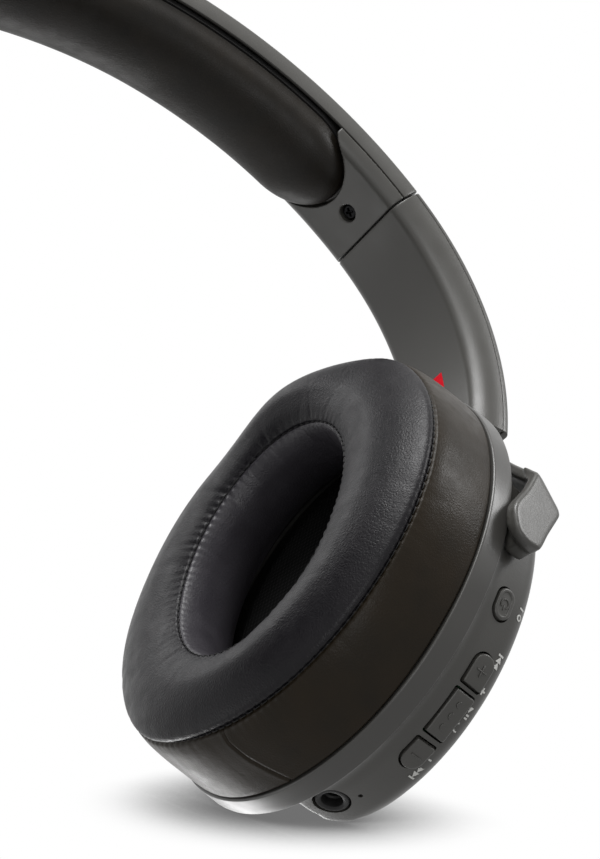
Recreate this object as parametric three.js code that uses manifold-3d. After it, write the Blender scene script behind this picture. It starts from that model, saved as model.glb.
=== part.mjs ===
// Over-ear wireless headset, upright as it is worn: +Z up, the wearer faces -Y, the right ear is at -X.
// The origin lies midway between the two ear cups, where the middle of the head is. Lengths are in mm.
import * as THREE from 'three';
import { mergeVertices } from 'three/addons/utils/BufferGeometryUtils.js';
import Module from 'manifold-3d';

const wasm = await Module();
wasm.setup();

// ---------------------------------------------------------------- driving dimensions

const CLEARANCE = 0.3;            // between pieces that lie against each other
const DEG = Math.PI / 180;

// Headband: a wide arc over the head that runs into a tighter arc down each arm
const CROWN_RADIUS = 95;          // of the band's inner face over the head
const ARM_START_ANGLE = 36.5 * DEG; // where the arms leave the band, from straight up
const HALF_SPAN = 81.5;           // from the middle to the inner face of an arm's lower end
const BAND_WIDTH = 26;
const BAND_THICKNESS = 8.6;
const BAND_FILLET = 2.6;          // between the inner face and the sides
const OUTER_ROUND = 1.4;          // along the band's outer edges
const JOINT_GAP = 0.4;            // the dark line between the band and an arm

// Headband shell
const SHELL_WALL = 2;             // outer wall
const SHELL_SIDE = 1.2;           // side walls
const SHELL_RIM = 3.2;            // depth of the shell's edge below the inner face

// Headband cushion
const CUSHION_CROWN = 6.5;        // how far it stands in from the band's inner face
const CUSHION_HALF_WIDTH = 11.3;
const CUSHION_FLAT_END = 25.5;    // back from the joint with the arm, where its round end begins
const CUSHION_END = 11.3;         // back from the joint, where its round end stops
const CUSHION_SEAT = 1.9;         // depth of its underside
const PAD_BASE_THICKNESS = 1.4;

// End caps that close the band under the cushion's ends
const CAP_TIP = 20.3;             // back from the joint, where the two horns of the U end
const CAP_POCKET_GAP = 0.6;       // round the cushion's end
const CAP_DEPTH = 3.6;
const CAP_HORN_CHAMFER = 3.6;
const CAP_SCREW_AT = 6.2;         // back from the joint
const CAP_SCREW_HEAD_R = 1.75;
const CAP_SCREW_HEAD_DEPTH = 1;
const CAP_SCREW_SINK = 0.8;       // head below the cap's face
const CAP_SCREW_SHANK_R = 0.8;
const SCREW_BOSS_R = 1.9;

// Slide: a steel tongue on each arm that runs inside the band
const SLIDE_TRAVEL = 24;
const TONGUE_DEPTH = 4.2;         // of its inner face
const TONGUE_THICKNESS = 0.9;
const TONGUE_HALF_WIDTH = 7;
const TONGUE_IN_BAND = 37;        // length inside the band at rest
const TONGUE_IN_ARM = 24;
const TONGUE_SLOT_HALF = 2.4;     // half width of the slot that clears the cap screw's boss
const NOTCH_PITCH = 4;
const NOTCH_R = 0.7;
const SPRING_DEPTH = 5.6;
const SPRING_THICKNESS = 0.6;
const SPRING_HALF_WIDTH = 6;
const SPRING_END = 10.5;          // back from the joint

// Arms
const ARM_FLOOR = 2.4;            // wall under the inner face
const ARM_SIDE = 1.6;
const ARM_COVER_PARTING = 6.8;    // depth of the line between the arm's two halves
const ARM_COVER_RIB = 0.9;
const ARM_END_BLOCK = 9;          // solid block at the lower end that holds the swivel pin
const ARM_SCREW_AT = [8, 19];     // along the arm, from its upper end
const ARM_SCREW_HEAD_R = 2;
const ARM_SCREW_HEAD = 1;
const ARM_SCREW_SHANK_R = 0.9;
const ARM_BOSS_R = 2.6;

// Swivel between an arm and its fork
const SWIVEL_ANGLE = 9.7 * DEG;   // how far the cups toe in at rest
const SWIVEL_PIN_R = 1.5;
const SWIVEL_HEAD_R = 2.8;
const SWIVEL_HEAD = 1.6;
const SWIVEL_PIN_ABOVE = 7;       // length inside the arm
const SWIVEL_PIN_BELOW = 8;       // length inside the fork
const SWIVEL_GAP = 0.6;

// Fork: a strap over the cup's upper half, with an ear over each tilt pivot
const PIVOT_REACH = 22.1;         // from the swivel axis to the tilt axis
const PIVOT_HEIGHT = -1.6;
const FORK_STRAP = 2.8;
const FORK_NECK_GAP = 1.2;        // between the strap and the cup's round body
const FORK_EAR = 2.2;
const FORK_RING_GAP = 1.1;        // between an ear and the ring's widest edge
const FORK_EAR_ROUND = 8;         // of the shoulder that carries each ear out
const FORK_EAR_SHOULDER = 14.4;   // height of that shoulder
const FORK_HEAD_HALF_WIDTH = 13.3;
const FORK_HEAD_ROUND = 2.3;      // of the head's upright outer edges
const FORK_BOSS_R = 5.8;
const FORK_TOP = 53.18;           // of its head above the ear axis: the band stands on it
// Side view of the fork: its arm's outer and inner edges as [x, share of the height from shoulder to top],
// and between them the ear as [x, z]
const FORK_ARM_OUTER = [[-1.5, 0.608], [5, 0.441], [10.5, 0.299], [15, 0.157], [17.2, 0.067]];
const FORK_ARM_INNER = [[21.4, 0.015], [19.5, 0.144], [14, 0.402], [6, 0.608]];
const FORK_EAR_SIDE = [
  [17.8, 13.5], [17.9, 10.5], [17.4, 7.6], [15.9, 4.8], [15.8, 3.8], [16.2, 2.6], [18.6, -2.6], [20.4, -6.9],
  [21.9, -7.6], [24, -7.6], [26.3, -6.3], [27.3, -2.9], [26.9, -0.4], [24.6, 3.7], [22.5, 8.8], [21.8, 11],
];

// Ear cup, in its own frame: X towards the head, Y to the rear, Z up, zero at the ring's front edge
const CUP_TILT = 4.3 * DEG;       // how far the pads look up at rest
const TILT_RANGE = 10;            // degrees either way
const PIVOT_DEPTH = 7.6;          // tilt axis behind the ring's front edge
const PIVOT_DROP = 1.6;           // tilt axis below the cup's middle
const RING_HALF_WIDTH = 41;
const RING_HALF_HEIGHT = 45;
const RING_DEPTH = 4.5;
const RING_FLARE = 0.2;
const RING_WALL = 9.6;
const HOUSING_STEP = 2.2;         // how far the housing's wall lies inside the ring
const HOUSING_TAPER = 0.5;
const HOUSING_DEPTH = 13.6;       // where its back edge begins to round over
const HOUSING_ROUND = 4.2;
const HOUSING_WALL = 1.8;
const HOUSING_NECK_R = 34.2;      // of the round body inside the fork
const PANEL_TOP = 5.5;            // height where the control panel's raised wall ends
const PANEL_END_SLOPE = 0.104;    // of its other end, just past the bottom
const BACK_LEAN = 0.045;          // the back is shallower towards the top
const BACK_LEAN_MIDDLE = 1;
const CAP_HALF_WIDTH = 27;
const CAP_HALF_HEIGHT = 30.5;
const CAP_FACE_DEPTH = 19.6;      // of the outer cover's flat face
const PIVOT_PIN_R = 1.6;
const PIVOT_CAP = 0.9;            // skin of the ear over a pin's end
const PIVOT_HEAD_R = 3;

// Ear pad
const PAD_SEAM_HALF_WIDTH = 39.8; // outer seam
const PAD_SEAM_HALF_HEIGHT = 40.6;
const PAD_SEAM_DEPTH = 13.9;
const PAD_MOUTH_HALF_WIDTH = 21;  // inner seam
const PAD_MOUTH_HALF_HEIGHT = 26.5;
const PAD_MOUTH_DEPTH = 17.7;
const PAD_TOP_SWELL = 2.6;        // the pad is fuller at the top
const PAD_TOP_SWELL_SPREAD = 40 * DEG;
const PAD_SEAT = 1.9;

// Inside a cup
const BAFFLE_DEPTH = 3.4;
const BAFFLE_THICKNESS = 1.6;
const DRIVER_R = 20;
const DRIVER_RIM = 2.2;
const MAGNET_R = 9.5;
const MAGNET_DEPTH = 6;
const CLOTH_THICKNESS = 0.6;
const BOARD_DEPTH = 12.9;
const BOARD_THICKNESS = 1.2;
const BOARD_FRONT = 13;           // its edges, from the cup's axis
const BOARD_REAR = 19;
const BOARD_BELOW = 20;
const BOARD_ABOVE = 5;
const CELL_DEPTH = 8.6;           // of its inner face
const CELL_THICKNESS = 4.8;
const CELL_HALF_LENGTH = 13;
const CELL_HEIGHT = 14.5;
const KEY_BOARD_ANGLES = [-72, -14];
const KEY_BOARD_THICKNESS = 0.8;
const KEY_BOARD_BEHIND = 2.2;     // its edges, from the middle of the keys
const KEY_BOARD_AHEAD = 3.6;
const SWITCH_SIZE = 3.2;
const SWITCH_HEIGHT = 2;
const MIC_ANGLE = -81;
const MIC_DEPTH = 11.4;
const MIC_HOLE_R = 0.4;

// Controls on the right cup's wall, as angles on the rim: 0 at the rear, negative towards the bottom
const KEY_DEPTH = 11.9;           // middle of the row of keys, behind the ring's front edge
const KEY_HALF_WIDTH = 2.15;
const KEY_PROUD = 0.45;
const KEY_TRAVEL = 0.5;
const KEY_GAP = 0.35;
const KEY_LENGTH_IN = 2.6;        // how far a key reaches inside the wall
const VOLUME_UP_ANGLES = [-41.6, -33];
const PLAY_ANGLES = [-56.2, -43.6];
const VOLUME_DOWN_ANGLES = [-66.6, -58.6];
const POWER_ANGLE = -20.5;
const POWER_DEPTH = 10.2;
const POWER_HALF_WIDTH = 1.85;
const POWER_HALF_LENGTH = 2.95;
const JACK_ANGLE = -88.2;
const JACK_DEPTH = 9.3;
const JACK_BORE_R = 1.85;
const JACK_BODY_R = 3.1;
const JACK_LENGTH = 13;

// ---------------------------------------------------------------- finishes

const finish = (color, roughness, metalness = 0) =>
  new THREE.MeshStandardMaterial({ color, roughness, metalness });
const SOFT_TOUCH = finish(0x4a4947, 0.62);
const SATIN_RING = finish(0x54534f, 0.5);
const DARK_PLASTIC = finish(0x2c2b2a, 0.55);
const LEATHERETTE = finish(0x221e1d, 0.45);
const CLOTH = finish(0x0d0d0e, 0.95);
const STEEL = finish(0x9a9a98, 0.3, 1);
const BLACK_SCREW = finish(0x151515, 0.35, 0.8);
const BOARD_GREEN = finish(0x1d4a2c, 0.6);
const CELL_SILVER = finish(0xa9abad, 0.4, 0.6);

// ---------------------------------------------------------------- meshes and booleans

/** Turns a closed mesh the right way out and drops what its booleans don't need. */
function closed(geometry) {
  const bare = geometry.index ? geometry.toNonIndexed() : geometry.clone();
  for (const name of Object.keys(bare.attributes)) {
    if (name !== 'position') bare.deleteAttribute(name);
  }
  const merged = mergeVertices(bare, 1e-4);
  const p = merged.attributes.position;
  const index = merged.index.array;
  const kept = [];
  const [a, b, c] = [new THREE.Vector3(), new THREE.Vector3(), new THREE.Vector3()];
  let volume = 0;
  for (let i = 0; i < index.length; i += 3) {
    const [i0, i1, i2] = [index[i], index[i + 1], index[i + 2]];
    if (i0 === i1 || i1 === i2 || i2 === i0) continue;
    kept.push(i0, i1, i2);
    a.fromBufferAttribute(p, i0);
    b.fromBufferAttribute(p, i1);
    c.fromBufferAttribute(p, i2);
    volume += a.dot(b.cross(c));
  }
  if (volume < 0) {
    for (let i = 0; i < kept.length; i += 3) [kept[i + 1], kept[i + 2]] = [kept[i + 2], kept[i + 1]];
  }
  merged.setIndex(kept);
  return merged;
}

function toManifold(geometry) {
  const g = closed(geometry);
  return new wasm.Manifold(new wasm.Mesh({
    numProp: 3,
    vertProperties: Float32Array.from(g.attributes.position.array),
    triVerts: Uint32Array.from(g.index.array),
  }));
}

function fromManifold(manifold) {
  const mesh = manifold.getMesh();
  const g = new THREE.BufferGeometry();
  g.setAttribute('position', new THREE.BufferAttribute(Float32Array.from(mesh.vertProperties), 3));
  g.setIndex(Array.from(mesh.triVerts));
  return g;
}

/** One geometry from a body, the solids added to it and the solids cut from it. */
function carve(body, { add = [], cut = [], keep = [] }) {
  let result = toManifold(body);
  for (const g of add) result = result.add(toManifold(g));
  for (const g of cut) result = result.subtract(toManifold(g));
  for (const g of keep) result = result.intersect(toManifold(g));
  return fromManifold(result);
}

/** Skins a row of equal rings of points; open rows get flat ends, a looped row closes on itself. */
function loft(rings, loop = false) {
  const n = rings[0].length;
  const position = rings.flat().flatMap((v) => [v.x, v.y, v.z]);
  const index = [];
  const last = loop ? rings.length : rings.length - 1;
  for (let i = 0; i < last; i += 1) {
    const j = (i + 1) % rings.length;
    for (let k = 0; k < n; k += 1) {
      const m = (k + 1) % n;
      index.push(i * n + k, i * n + m, j * n + m, i * n + k, j * n + m, j * n + k);
    }
  }
  const g = new THREE.BufferGeometry();
  if (!loop) {
    [0, rings.length - 1].forEach((r, end) => {
      for (const t of endTriangles(rings[r])) {
        const tri = t.map((v) => r * n + v);
        index.push(...(end === 0 ? tri.reverse() : tri));
      }
    });
  }
  g.setAttribute('position', new THREE.Float32BufferAttribute(position, 3));
  g.setIndex(index);
  return g;
}

/** Triangles over a flat ring of points, turning the same way as the ring. */
function endTriangles(ring) {
  const normal = new THREE.Vector3();
  ring.forEach((p, i) => normal.add(new THREE.Vector3().crossVectors(p, ring[(i + 1) % ring.length])));
  const turn = new THREE.Quaternion().setFromUnitVectors(normal.normalize(), new THREE.Vector3(0, 0, 1));
  const flat = ring.map((p) => {
    const q = p.clone().applyQuaternion(turn);
    return new THREE.Vector2(q.x, q.y);
  });
  return THREE.ShapeUtils.triangulateShape(flat, []);
}

/** A flat outline of [a, b] points pushed from one place to another along x, y or z. */
function prism(outline, axis, from, to) {
  const at = {
    x: (a, b, c) => new THREE.Vector3(c, a, b),
    y: (a, b, c) => new THREE.Vector3(a, c, b),
    z: (a, b, c) => new THREE.Vector3(a, b, c),
  }[axis];
  return loft([from, to].map((c) => outline.map(([a, b]) => at(a, b, c))));
}

/** A round bar along x, y or z. */
function rod(axis, radius, from, to, centre = [0, 0], sides = 16) {
  const ring = [];
  for (let i = 0; i < sides; i += 1) {
    const t = (i / sides) * 2 * Math.PI;
    ring.push([centre[0] + radius * Math.cos(t), centre[1] + radius * Math.sin(t)]);
  }
  return prism(ring, axis, from, to);
}

function box(x0, x1, y0, y1, z0, z1) {
  return prism([[x0, y0], [x1, y0], [x1, y1], [x0, y1]], 'z', z0, z1);
}

/** Points of an arc, both ends included, with angles in radians. */
function arc(cx, cy, r, from, to, steps) {
  return Array.from({ length: steps + 1 }, (_, i) => {
    const t = from + ((to - from) * i) / steps;
    return [cx + r * Math.cos(t), cy + r * Math.sin(t)];
  });
}

// ---------------------------------------------------------------- the band's curve

const ARM_RADIUS = (HALF_SPAN - CROWN_RADIUS * Math.sin(ARM_START_ANGLE)) / (1 - Math.sin(ARM_START_ANGLE));
const ARM_CENTRE_X = -HALF_SPAN + ARM_RADIUS;
const ARM_CENTRE_Z = FORK_TOP + SWIVEL_GAP;
const CROWN_CENTRE_Z = ARM_CENTRE_Z - (CROWN_RADIUS - ARM_RADIUS) * Math.cos(ARM_START_ANGLE);
const ARM_START = CROWN_RADIUS * ARM_START_ANGLE;
const ARM_LENGTH = ARM_RADIUS * (Math.PI / 2 - ARM_START_ANGLE);
const ARM_END = ARM_START + ARM_LENGTH;
const SWIVEL_X = HALF_SPAN + BAND_THICKNESS / 2;
const CUSHION_ROUND_FROM = ARM_START - CUSHION_FLAT_END;
const CUSHION_TIP = ARM_START - CUSHION_END;
const CAP_SCREW_S = ARM_START - CAP_SCREW_AT;
const FORK_STRAP_R = HOUSING_NECK_R + FORK_NECK_GAP + FORK_STRAP;
const FORK_EAR_R = RING_HALF_WIDTH + RING_FLARE + FORK_RING_GAP + FORK_EAR;
const BEYOND = 1.5 * RING_HALF_HEIGHT; // past every face of a cup

/** A point s along the right half of the band from its crown, y across it and d out from its inner face. */
function onBand(s, y, d) {
  if (s <= ARM_START) {
    const a = s / CROWN_RADIUS;
    const r = CROWN_RADIUS + d;
    return new THREE.Vector3(-r * Math.sin(a), y, CROWN_CENTRE_Z + r * Math.cos(a));
  }
  const a = ARM_START_ANGLE + (s - ARM_START) / ARM_RADIUS;
  const r = ARM_RADIUS + d;
  return new THREE.Vector3(ARM_CENTRE_X - r * Math.sin(a), y, ARM_CENTRE_Z + r * Math.cos(a));
}

/** Sweeps an outline of [y, depth] points, fixed or changing with s, along the band. */
function alongBand(outline, from, to, steps) {
  const at = typeof outline === 'function' ? outline : () => outline;
  const rings = [];
  for (let i = 0; i <= steps; i += 1) {
    const s = from + ((to - from) * i) / steps;
    rings.push(at(s).map(([y, d]) => onBand(s, y, d)));
  }
  return loft(rings);
}

/** A bar that stands across the band's thickness at s, such as a screw or its hole. */
function acrossBand(s, y, radius, from, to, sides = 12) {
  const place = new THREE.Matrix4().makeBasis(
    onBand(s, 0, 1).sub(onBand(s, 0, 0)),
    new THREE.Vector3(0, 1, 0),
    onBand(s, 0, 1).sub(onBand(s, 0, 0)).cross(new THREE.Vector3(0, 1, 0)),
  ).setPosition(onBand(s, y, 0));
  return rod('x', radius, from, to, [0, 0], sides).applyMatrix4(place);
}

/** Mirrors the half outline [y >= 0] given from its inner end to its outer end. */
function bothSides(half) {
  return [...half, ...half.slice().reverse().map(([y, d]) => [-y, d])];
}

// ---------------------------------------------------------------- headband

const HALF_WIDTH = BAND_WIDTH / 2;
const INNER_FILLET = arc(HALF_WIDTH - BAND_FILLET, BAND_FILLET, BAND_FILLET, -Math.PI / 2, 0, 3);
const OUTER_EDGE = arc(HALF_WIDTH - OUTER_ROUND, BAND_THICKNESS - OUTER_ROUND, OUTER_ROUND, 0, Math.PI / 2, 2);
const CHANNEL_HALF = HALF_WIDTH - SHELL_SIDE;

function headbandShell() {
  const roof = BAND_THICKNESS - SHELL_WALL;
  const outline = bothSides([
    [CHANNEL_HALF, roof], [CHANNEL_HALF, SHELL_RIM], [HALF_WIDTH, SHELL_RIM], ...OUTER_EDGE,
  ]);
  const end = ARM_START - JOINT_GAP / 2;
  const right = alongBand(outline, 0, end, 11);
  const whole = toManifold(right).add(toManifold(mirrored(right)));
  const boss = acrossBand(CAP_SCREW_S, 0, SCREW_BOSS_R, CAP_DEPTH + CLEARANCE, roof + 0.5);
  const bore = acrossBand(CAP_SCREW_S, 0, CAP_SCREW_SHANK_R + CLEARANCE, 0, roof + 0.2);
  let shell = whole.add(toManifold(boss)).add(toManifold(mirrored(boss)));
  shell = shell.subtract(toManifold(bore)).subtract(toManifold(mirrored(bore)));
  return fromManifold(shell);
}

function cushionHalfWidth(s) {
  const past = Math.max(0, Math.abs(s) - CUSHION_ROUND_FROM) / (CUSHION_TIP - CUSHION_ROUND_FROM);
  return CUSHION_HALF_WIDTH * Math.sqrt(Math.max(0, 1 - past * past));
}

/** Cushion under the band: crowned across, drawn in at its sides and rounded at both ends. */
function headbandCushion() {
  const steps = 30;
  const across = 12;
  const rings = [];
  for (let i = 0; i <= steps; i += 1) {
    const t = -Math.cos((Math.PI * i) / steps);
    const blend = 0.35 * t + 0.65 * Math.sign(t) * (1 - (1 - Math.abs(t)) ** 1.6);
    const s = blend * (CUSHION_TIP - 0.25);
    const w = cushionHalfWidth(s);
    const lift = (w / CUSHION_HALF_WIDTH) ** 0.8;
    const ring = [];
    for (let k = 0; k <= across; k += 1) {
      const a = Math.PI * (k / across);
      const y = w * Math.cos(a) * (1 - 0.04 * (1 - Math.sin(a)));
      const d = CUSHION_SEAT - 0.6 - (CUSHION_CROWN + CUSHION_SEAT - 0.6) * lift * Math.sin(a) ** 0.75;
      ring.push([y, d]);
    }
    const seat = [[w * 0.97, CUSHION_SEAT], [-w * 0.97, CUSHION_SEAT]];
    rings.push([...ring, seat[1], seat[0]].map(([y, d]) => bandPoint(s, y, d)));
  }
  return loft(rings);
}

/** As onBand, on both sides of the crown. */
function bandPoint(s, y, d) {
  const p = onBand(Math.abs(s), y, d);
  if (s < 0) p.x = -p.x;
  return p;
}

function padBase() {
  const steps = 30;
  const rings = [];
  const reach = CUSHION_TIP - 1.2;
  for (let i = 0; i <= steps; i += 1) {
    const s = -reach * Math.cos((Math.PI * i) / steps);
    const w = cushionHalfWidth(s);
    rings.push([
      bandPoint(s, w, SHELL_RIM - PAD_BASE_THICKNESS + CLEARANCE + 0.1),
      bandPoint(s, w, SHELL_RIM + CLEARANCE + 0.1),
      bandPoint(s, -w, SHELL_RIM + CLEARANCE + 0.1),
      bandPoint(s, -w, SHELL_RIM - PAD_BASE_THICKNESS + CLEARANCE + 0.1),
    ]);
  }
  return loft(rings);
}

function springStrip() {
  const outline = [
    [SPRING_HALF_WIDTH, SPRING_DEPTH], [SPRING_HALF_WIDTH, SPRING_DEPTH + SPRING_THICKNESS],
    [-SPRING_HALF_WIDTH, SPRING_DEPTH + SPRING_THICKNESS], [-SPRING_HALF_WIDTH, SPRING_DEPTH],
  ];
  const rings = [];
  const steps = 28;
  for (let i = 0; i <= steps; i += 1) {
    const s = (ARM_START - SPRING_END) * ((2 * i) / steps - 1);
    rings.push(outline.map(([y, d]) => bandPoint(s, y, d)));
  }
  return loft(rings);
}

/** Inner cover at one end of the band, with a U-shaped pocket round the cushion's end. */
function endCap() {
  const inset = HALF_WIDTH - SHELL_SIDE - CLEARANCE;
  const outline = bothSides([
    ...INNER_FILLET, [HALF_WIDTH, SHELL_RIM - 0.2], [inset, SHELL_RIM - 0.2], [inset, CAP_DEPTH],
  ]);
  const tip = ARM_START - CAP_TIP;
  const body = alongBand(outline, tip, ARM_START - JOINT_GAP / 2, 8);
  const pocket = [];
  const grow = CUSHION_HALF_WIDTH + CAP_POCKET_GAP;
  const reach = CUSHION_TIP + CAP_POCKET_GAP - CUSHION_ROUND_FROM;
  for (let i = 0; i <= 14; i += 1) {
    const a = -Math.PI / 2 + (Math.PI * i) / 14;
    pocket.push([CUSHION_ROUND_FROM + reach * Math.cos(a), grow * Math.sin(a)]);
  }
  pocket.push([CUSHION_ROUND_FROM - 2, grow], [CUSHION_ROUND_FROM - 2, -grow]);
  const cut = [loft([-1.5, CAP_DEPTH + 1].map((d) => pocket.map(([s, y]) => onBand(s, y, d))))];
  for (const side of [1, -1]) {
    const corner = [
      [tip - 1, HALF_WIDTH + 1], [tip - 1, HALF_WIDTH - CAP_HORN_CHAMFER],
      [tip + CAP_HORN_CHAMFER, HALF_WIDTH - CAP_HORN_CHAMFER],
    ];
    const low = corner.map(([s, y]) => onBand(s, side * y, -1));
    const high = corner.map(([s, y]) => onBand(tip - 1 + (s - tip + 1) * 0.2, side * y, SHELL_RIM - 1));
    cut.push(loft([low, high]));
  }
  const head = CAP_SCREW_HEAD_R + CLEARANCE;
  const sink = CAP_SCREW_SINK + CAP_SCREW_HEAD_DEPTH + CLEARANCE;
  cut.push(acrossBand(CAP_SCREW_S, 0, head, -1, sink));
  cut.push(acrossBand(CAP_SCREW_S, 0, CAP_SCREW_SHANK_R + CLEARANCE, -1, CAP_DEPTH + 1));
  return carve(body, { cut });
}

function capScrew() {
  const seat = CAP_SCREW_SINK + CAP_SCREW_HEAD_DEPTH;
  const end = BAND_THICKNESS - SHELL_WALL - 2 * CLEARANCE;
  const head = acrossBand(CAP_SCREW_S, 0, CAP_SCREW_HEAD_R, CAP_SCREW_SINK, seat);
  const shank = acrossBand(CAP_SCREW_S, 0, CAP_SCREW_SHANK_R, CAP_SCREW_SINK + 0.2, end);
  return carve(head, { add: [shank] });
}

// ---------------------------------------------------------------- arms

/** Inner half of an arm: a channel that is closed by the outer cover, solid at its lower end. */
function armHousing() {
  const inside = HALF_WIDTH - ARM_SIDE;
  const from = ARM_START + JOINT_GAP / 2;
  const to = ARM_END;
  const outline = bothSides([...INNER_FILLET, [HALF_WIDTH, ARM_COVER_PARTING - 0.15]]);
  const body = alongBand(outline, from, to, 10);
  const channel = alongBand(
    bothSides([[inside, ARM_FLOOR], [inside, ARM_COVER_PARTING + 1]]),
    from - 2,
    to - ARM_END_BLOCK,
    10,
  );
  const bosses = ARM_SCREW_AT.map((s) =>
    acrossBand(ARM_START + s, 0, ARM_BOSS_R, 1, TONGUE_DEPTH - CLEARANCE));
  const bores = ARM_SCREW_AT.map((s) =>
    acrossBand(ARM_START + s, 0, ARM_SCREW_SHANK_R + CLEARANCE, ARM_FLOOR - 1, TONGUE_DEPTH + 1, 12));
  const middle = -SWIVEL_X;
  const boreTop = ARM_CENTRE_Z + SWIVEL_PIN_ABOVE + CLEARANCE;
  const bore = rod('z', SWIVEL_PIN_R + CLEARANCE, ARM_CENTRE_Z - 1, boreTop, [middle, 0]);
  const hollow = toManifold(body).subtract(toManifold(channel));
  let result = hollow;
  for (const g of bosses) result = result.add(toManifold(g));
  for (const g of bores) result = result.subtract(toManifold(g));
  return fromManifold(result.subtract(toManifold(bore)));
}

function armCover() {
  const inside = HALF_WIDTH - ARM_SIDE - CLEARANCE;
  const outline = bothSides([
    [inside, ARM_COVER_PARTING - ARM_COVER_RIB], [inside, ARM_COVER_PARTING + 0.15],
    [HALF_WIDTH, ARM_COVER_PARTING + 0.15], ...OUTER_EDGE,
  ]);
  const body = alongBand(outline, ARM_START + JOINT_GAP / 2, ARM_END, 10);
  const relief = alongBand(
    bothSides([[inside + 1, ARM_COVER_PARTING - ARM_COVER_RIB - 1], [inside + 1, ARM_COVER_PARTING + 0.15]]),
    ARM_END - ARM_END_BLOCK - CLEARANCE,
    ARM_END + 2,
    4,
  );
  return carve(body, { cut: [relief] });
}

/** Steel tongue that joins an arm to the band, with a slot for the cap screw and a row of notches. */
function tongue() {
  const half = TONGUE_HALF_WIDTH;
  const outline = [
    [half, TONGUE_DEPTH], [half, TONGUE_DEPTH + TONGUE_THICKNESS],
    [-half, TONGUE_DEPTH + TONGUE_THICKNESS], [-half, TONGUE_DEPTH],
  ];
  const from = ARM_START - TONGUE_IN_BAND;
  const body = alongBand(outline, from, ARM_START + TONGUE_IN_ARM, 12);
  const slotEnd = CAP_SCREW_S + SCREW_BOSS_R + 0.8;
  const slotStart = CAP_SCREW_S - SLIDE_TRAVEL - SCREW_BOSS_R - 0.8;
  const slot = [[TONGUE_SLOT_HALF, TONGUE_DEPTH - 1], [TONGUE_SLOT_HALF, TONGUE_DEPTH + 2],
    [-TONGUE_SLOT_HALF, TONGUE_DEPTH + 2], [-TONGUE_SLOT_HALF, TONGUE_DEPTH - 1]];
  const cut = [alongBand(slot, slotStart, slotEnd, 6)];
  for (let s = slotStart; s < slotEnd; s += NOTCH_PITCH) {
    cut.push(acrossBand(s, half, NOTCH_R, TONGUE_DEPTH - 1, TONGUE_DEPTH + 2, 6));
  }
  for (const s of ARM_SCREW_AT) {
    cut.push(acrossBand(ARM_START + s, 0, ARM_SCREW_SHANK_R + CLEARANCE, TONGUE_DEPTH - 1, TONGUE_DEPTH + 2, 12));
  }
  return carve(body, { cut });
}

function armScrew(along) {
  const s = ARM_START + along;
  const under = TONGUE_DEPTH + TONGUE_THICKNESS + CLEARANCE;
  const head = acrossBand(s, 0, ARM_SCREW_HEAD_R, under, under + ARM_SCREW_HEAD - 0.6);
  const shank = acrossBand(s, 0, ARM_SCREW_SHANK_R, ARM_FLOOR - 1 + CLEARANCE, under + 0.1, 12);
  return carve(head, { add: [shank] });
}

/** Shoulder screw that joins the fork to the arm, in the arm's frame. */
function swivelPin() {
  const below = ARM_CENTRE_Z - SWIVEL_PIN_BELOW;
  const shaft = rod('z', SWIVEL_PIN_R, below, ARM_CENTRE_Z + SWIVEL_PIN_ABOVE, [-SWIVEL_X, 0]);
  const head = rod('z', SWIVEL_HEAD_R, below - SWIVEL_HEAD, below + 0.01, [-SWIVEL_X, 0]);
  return carve(shaft, { add: [head] });
}

// ---------------------------------------------------------------- fork

/**
 * Fork in its own frame: X from the swivel axis towards the head, Y to the rear, Z up.
 * Its front outline, pushed through, is kept where its side outline is.
 */
function fork() {
  const half = BAND_THICKNESS / 2;
  const rise = (share) => FORK_EAR_SHOULDER + (FORK_TOP - FORK_EAR_SHOULDER) * share;
  const along = (edge) => edge.map(([x, share]) => [x, rise(share)]);
  const side = [
    [half, rise(0.79)], [half, FORK_TOP], [-half, FORK_TOP], [-half, rise(0.76)],
    ...along(FORK_ARM_OUTER), ...FORK_EAR_SIDE, ...along(FORK_ARM_INNER),
  ];
  const neckTop = rise(0.634);
  let result = forkFront();
  for (const g of ringSweep(RING_HALF_WIDTH + 0.6, 0)) result = result.subtract(toManifold(g));
  for (const sign of [1, -1]) {
    const inner = sign > 0 ? wallRadius(PIVOT_DROP) : HOUSING_NECK_R;
    const ends = [sign * (inner + CLEARANCE + 0.2), sign * (FORK_EAR_R - FORK_EAR + 0.6)];
    let boss = toManifold(rod('y', FORK_BOSS_R, ...ends, [PIVOT_REACH, PIVOT_HEIGHT], 20));
    for (const g of ringSweep(FORK_EAR_R - FORK_EAR, 2.8)) boss = boss.subtract(toManifold(g));
    result = result.add(boss);
  }
  result = result.intersect(toManifold(prism(side, 'y', -BEYOND, BEYOND)));
  const below = box(-PIVOT_REACH, 2 * PIVOT_REACH, -BEYOND, BEYOND, -BEYOND, neckTop);
  result = result.intersect(toManifold(forkHeadRounding(neckTop - 1)).add(toManifold(below)));
  for (const sign of [1, -1]) {
    const ends = [sign * (HOUSING_NECK_R - 4), sign * (FORK_EAR_R - PIVOT_CAP)];
    const socket = rod('y', PIVOT_PIN_R + CLEARANCE, ...ends, [PIVOT_REACH, PIVOT_HEIGHT], 16);
    result = result.subtract(toManifold(socket));
  }
  const under = FORK_STRAP_R - FORK_STRAP - 5;
  const shaft = rod('z', SWIVEL_PIN_R + CLEARANCE, under, FORK_TOP + 1);
  const head = rod('z', SWIVEL_HEAD_R + CLEARANCE, under, ARM_CENTRE_Z - SWIVEL_PIN_BELOW + CLEARANCE);
  return fromManifold(result.subtract(toManifold(shaft)).subtract(toManifold(head)));
}

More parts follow.
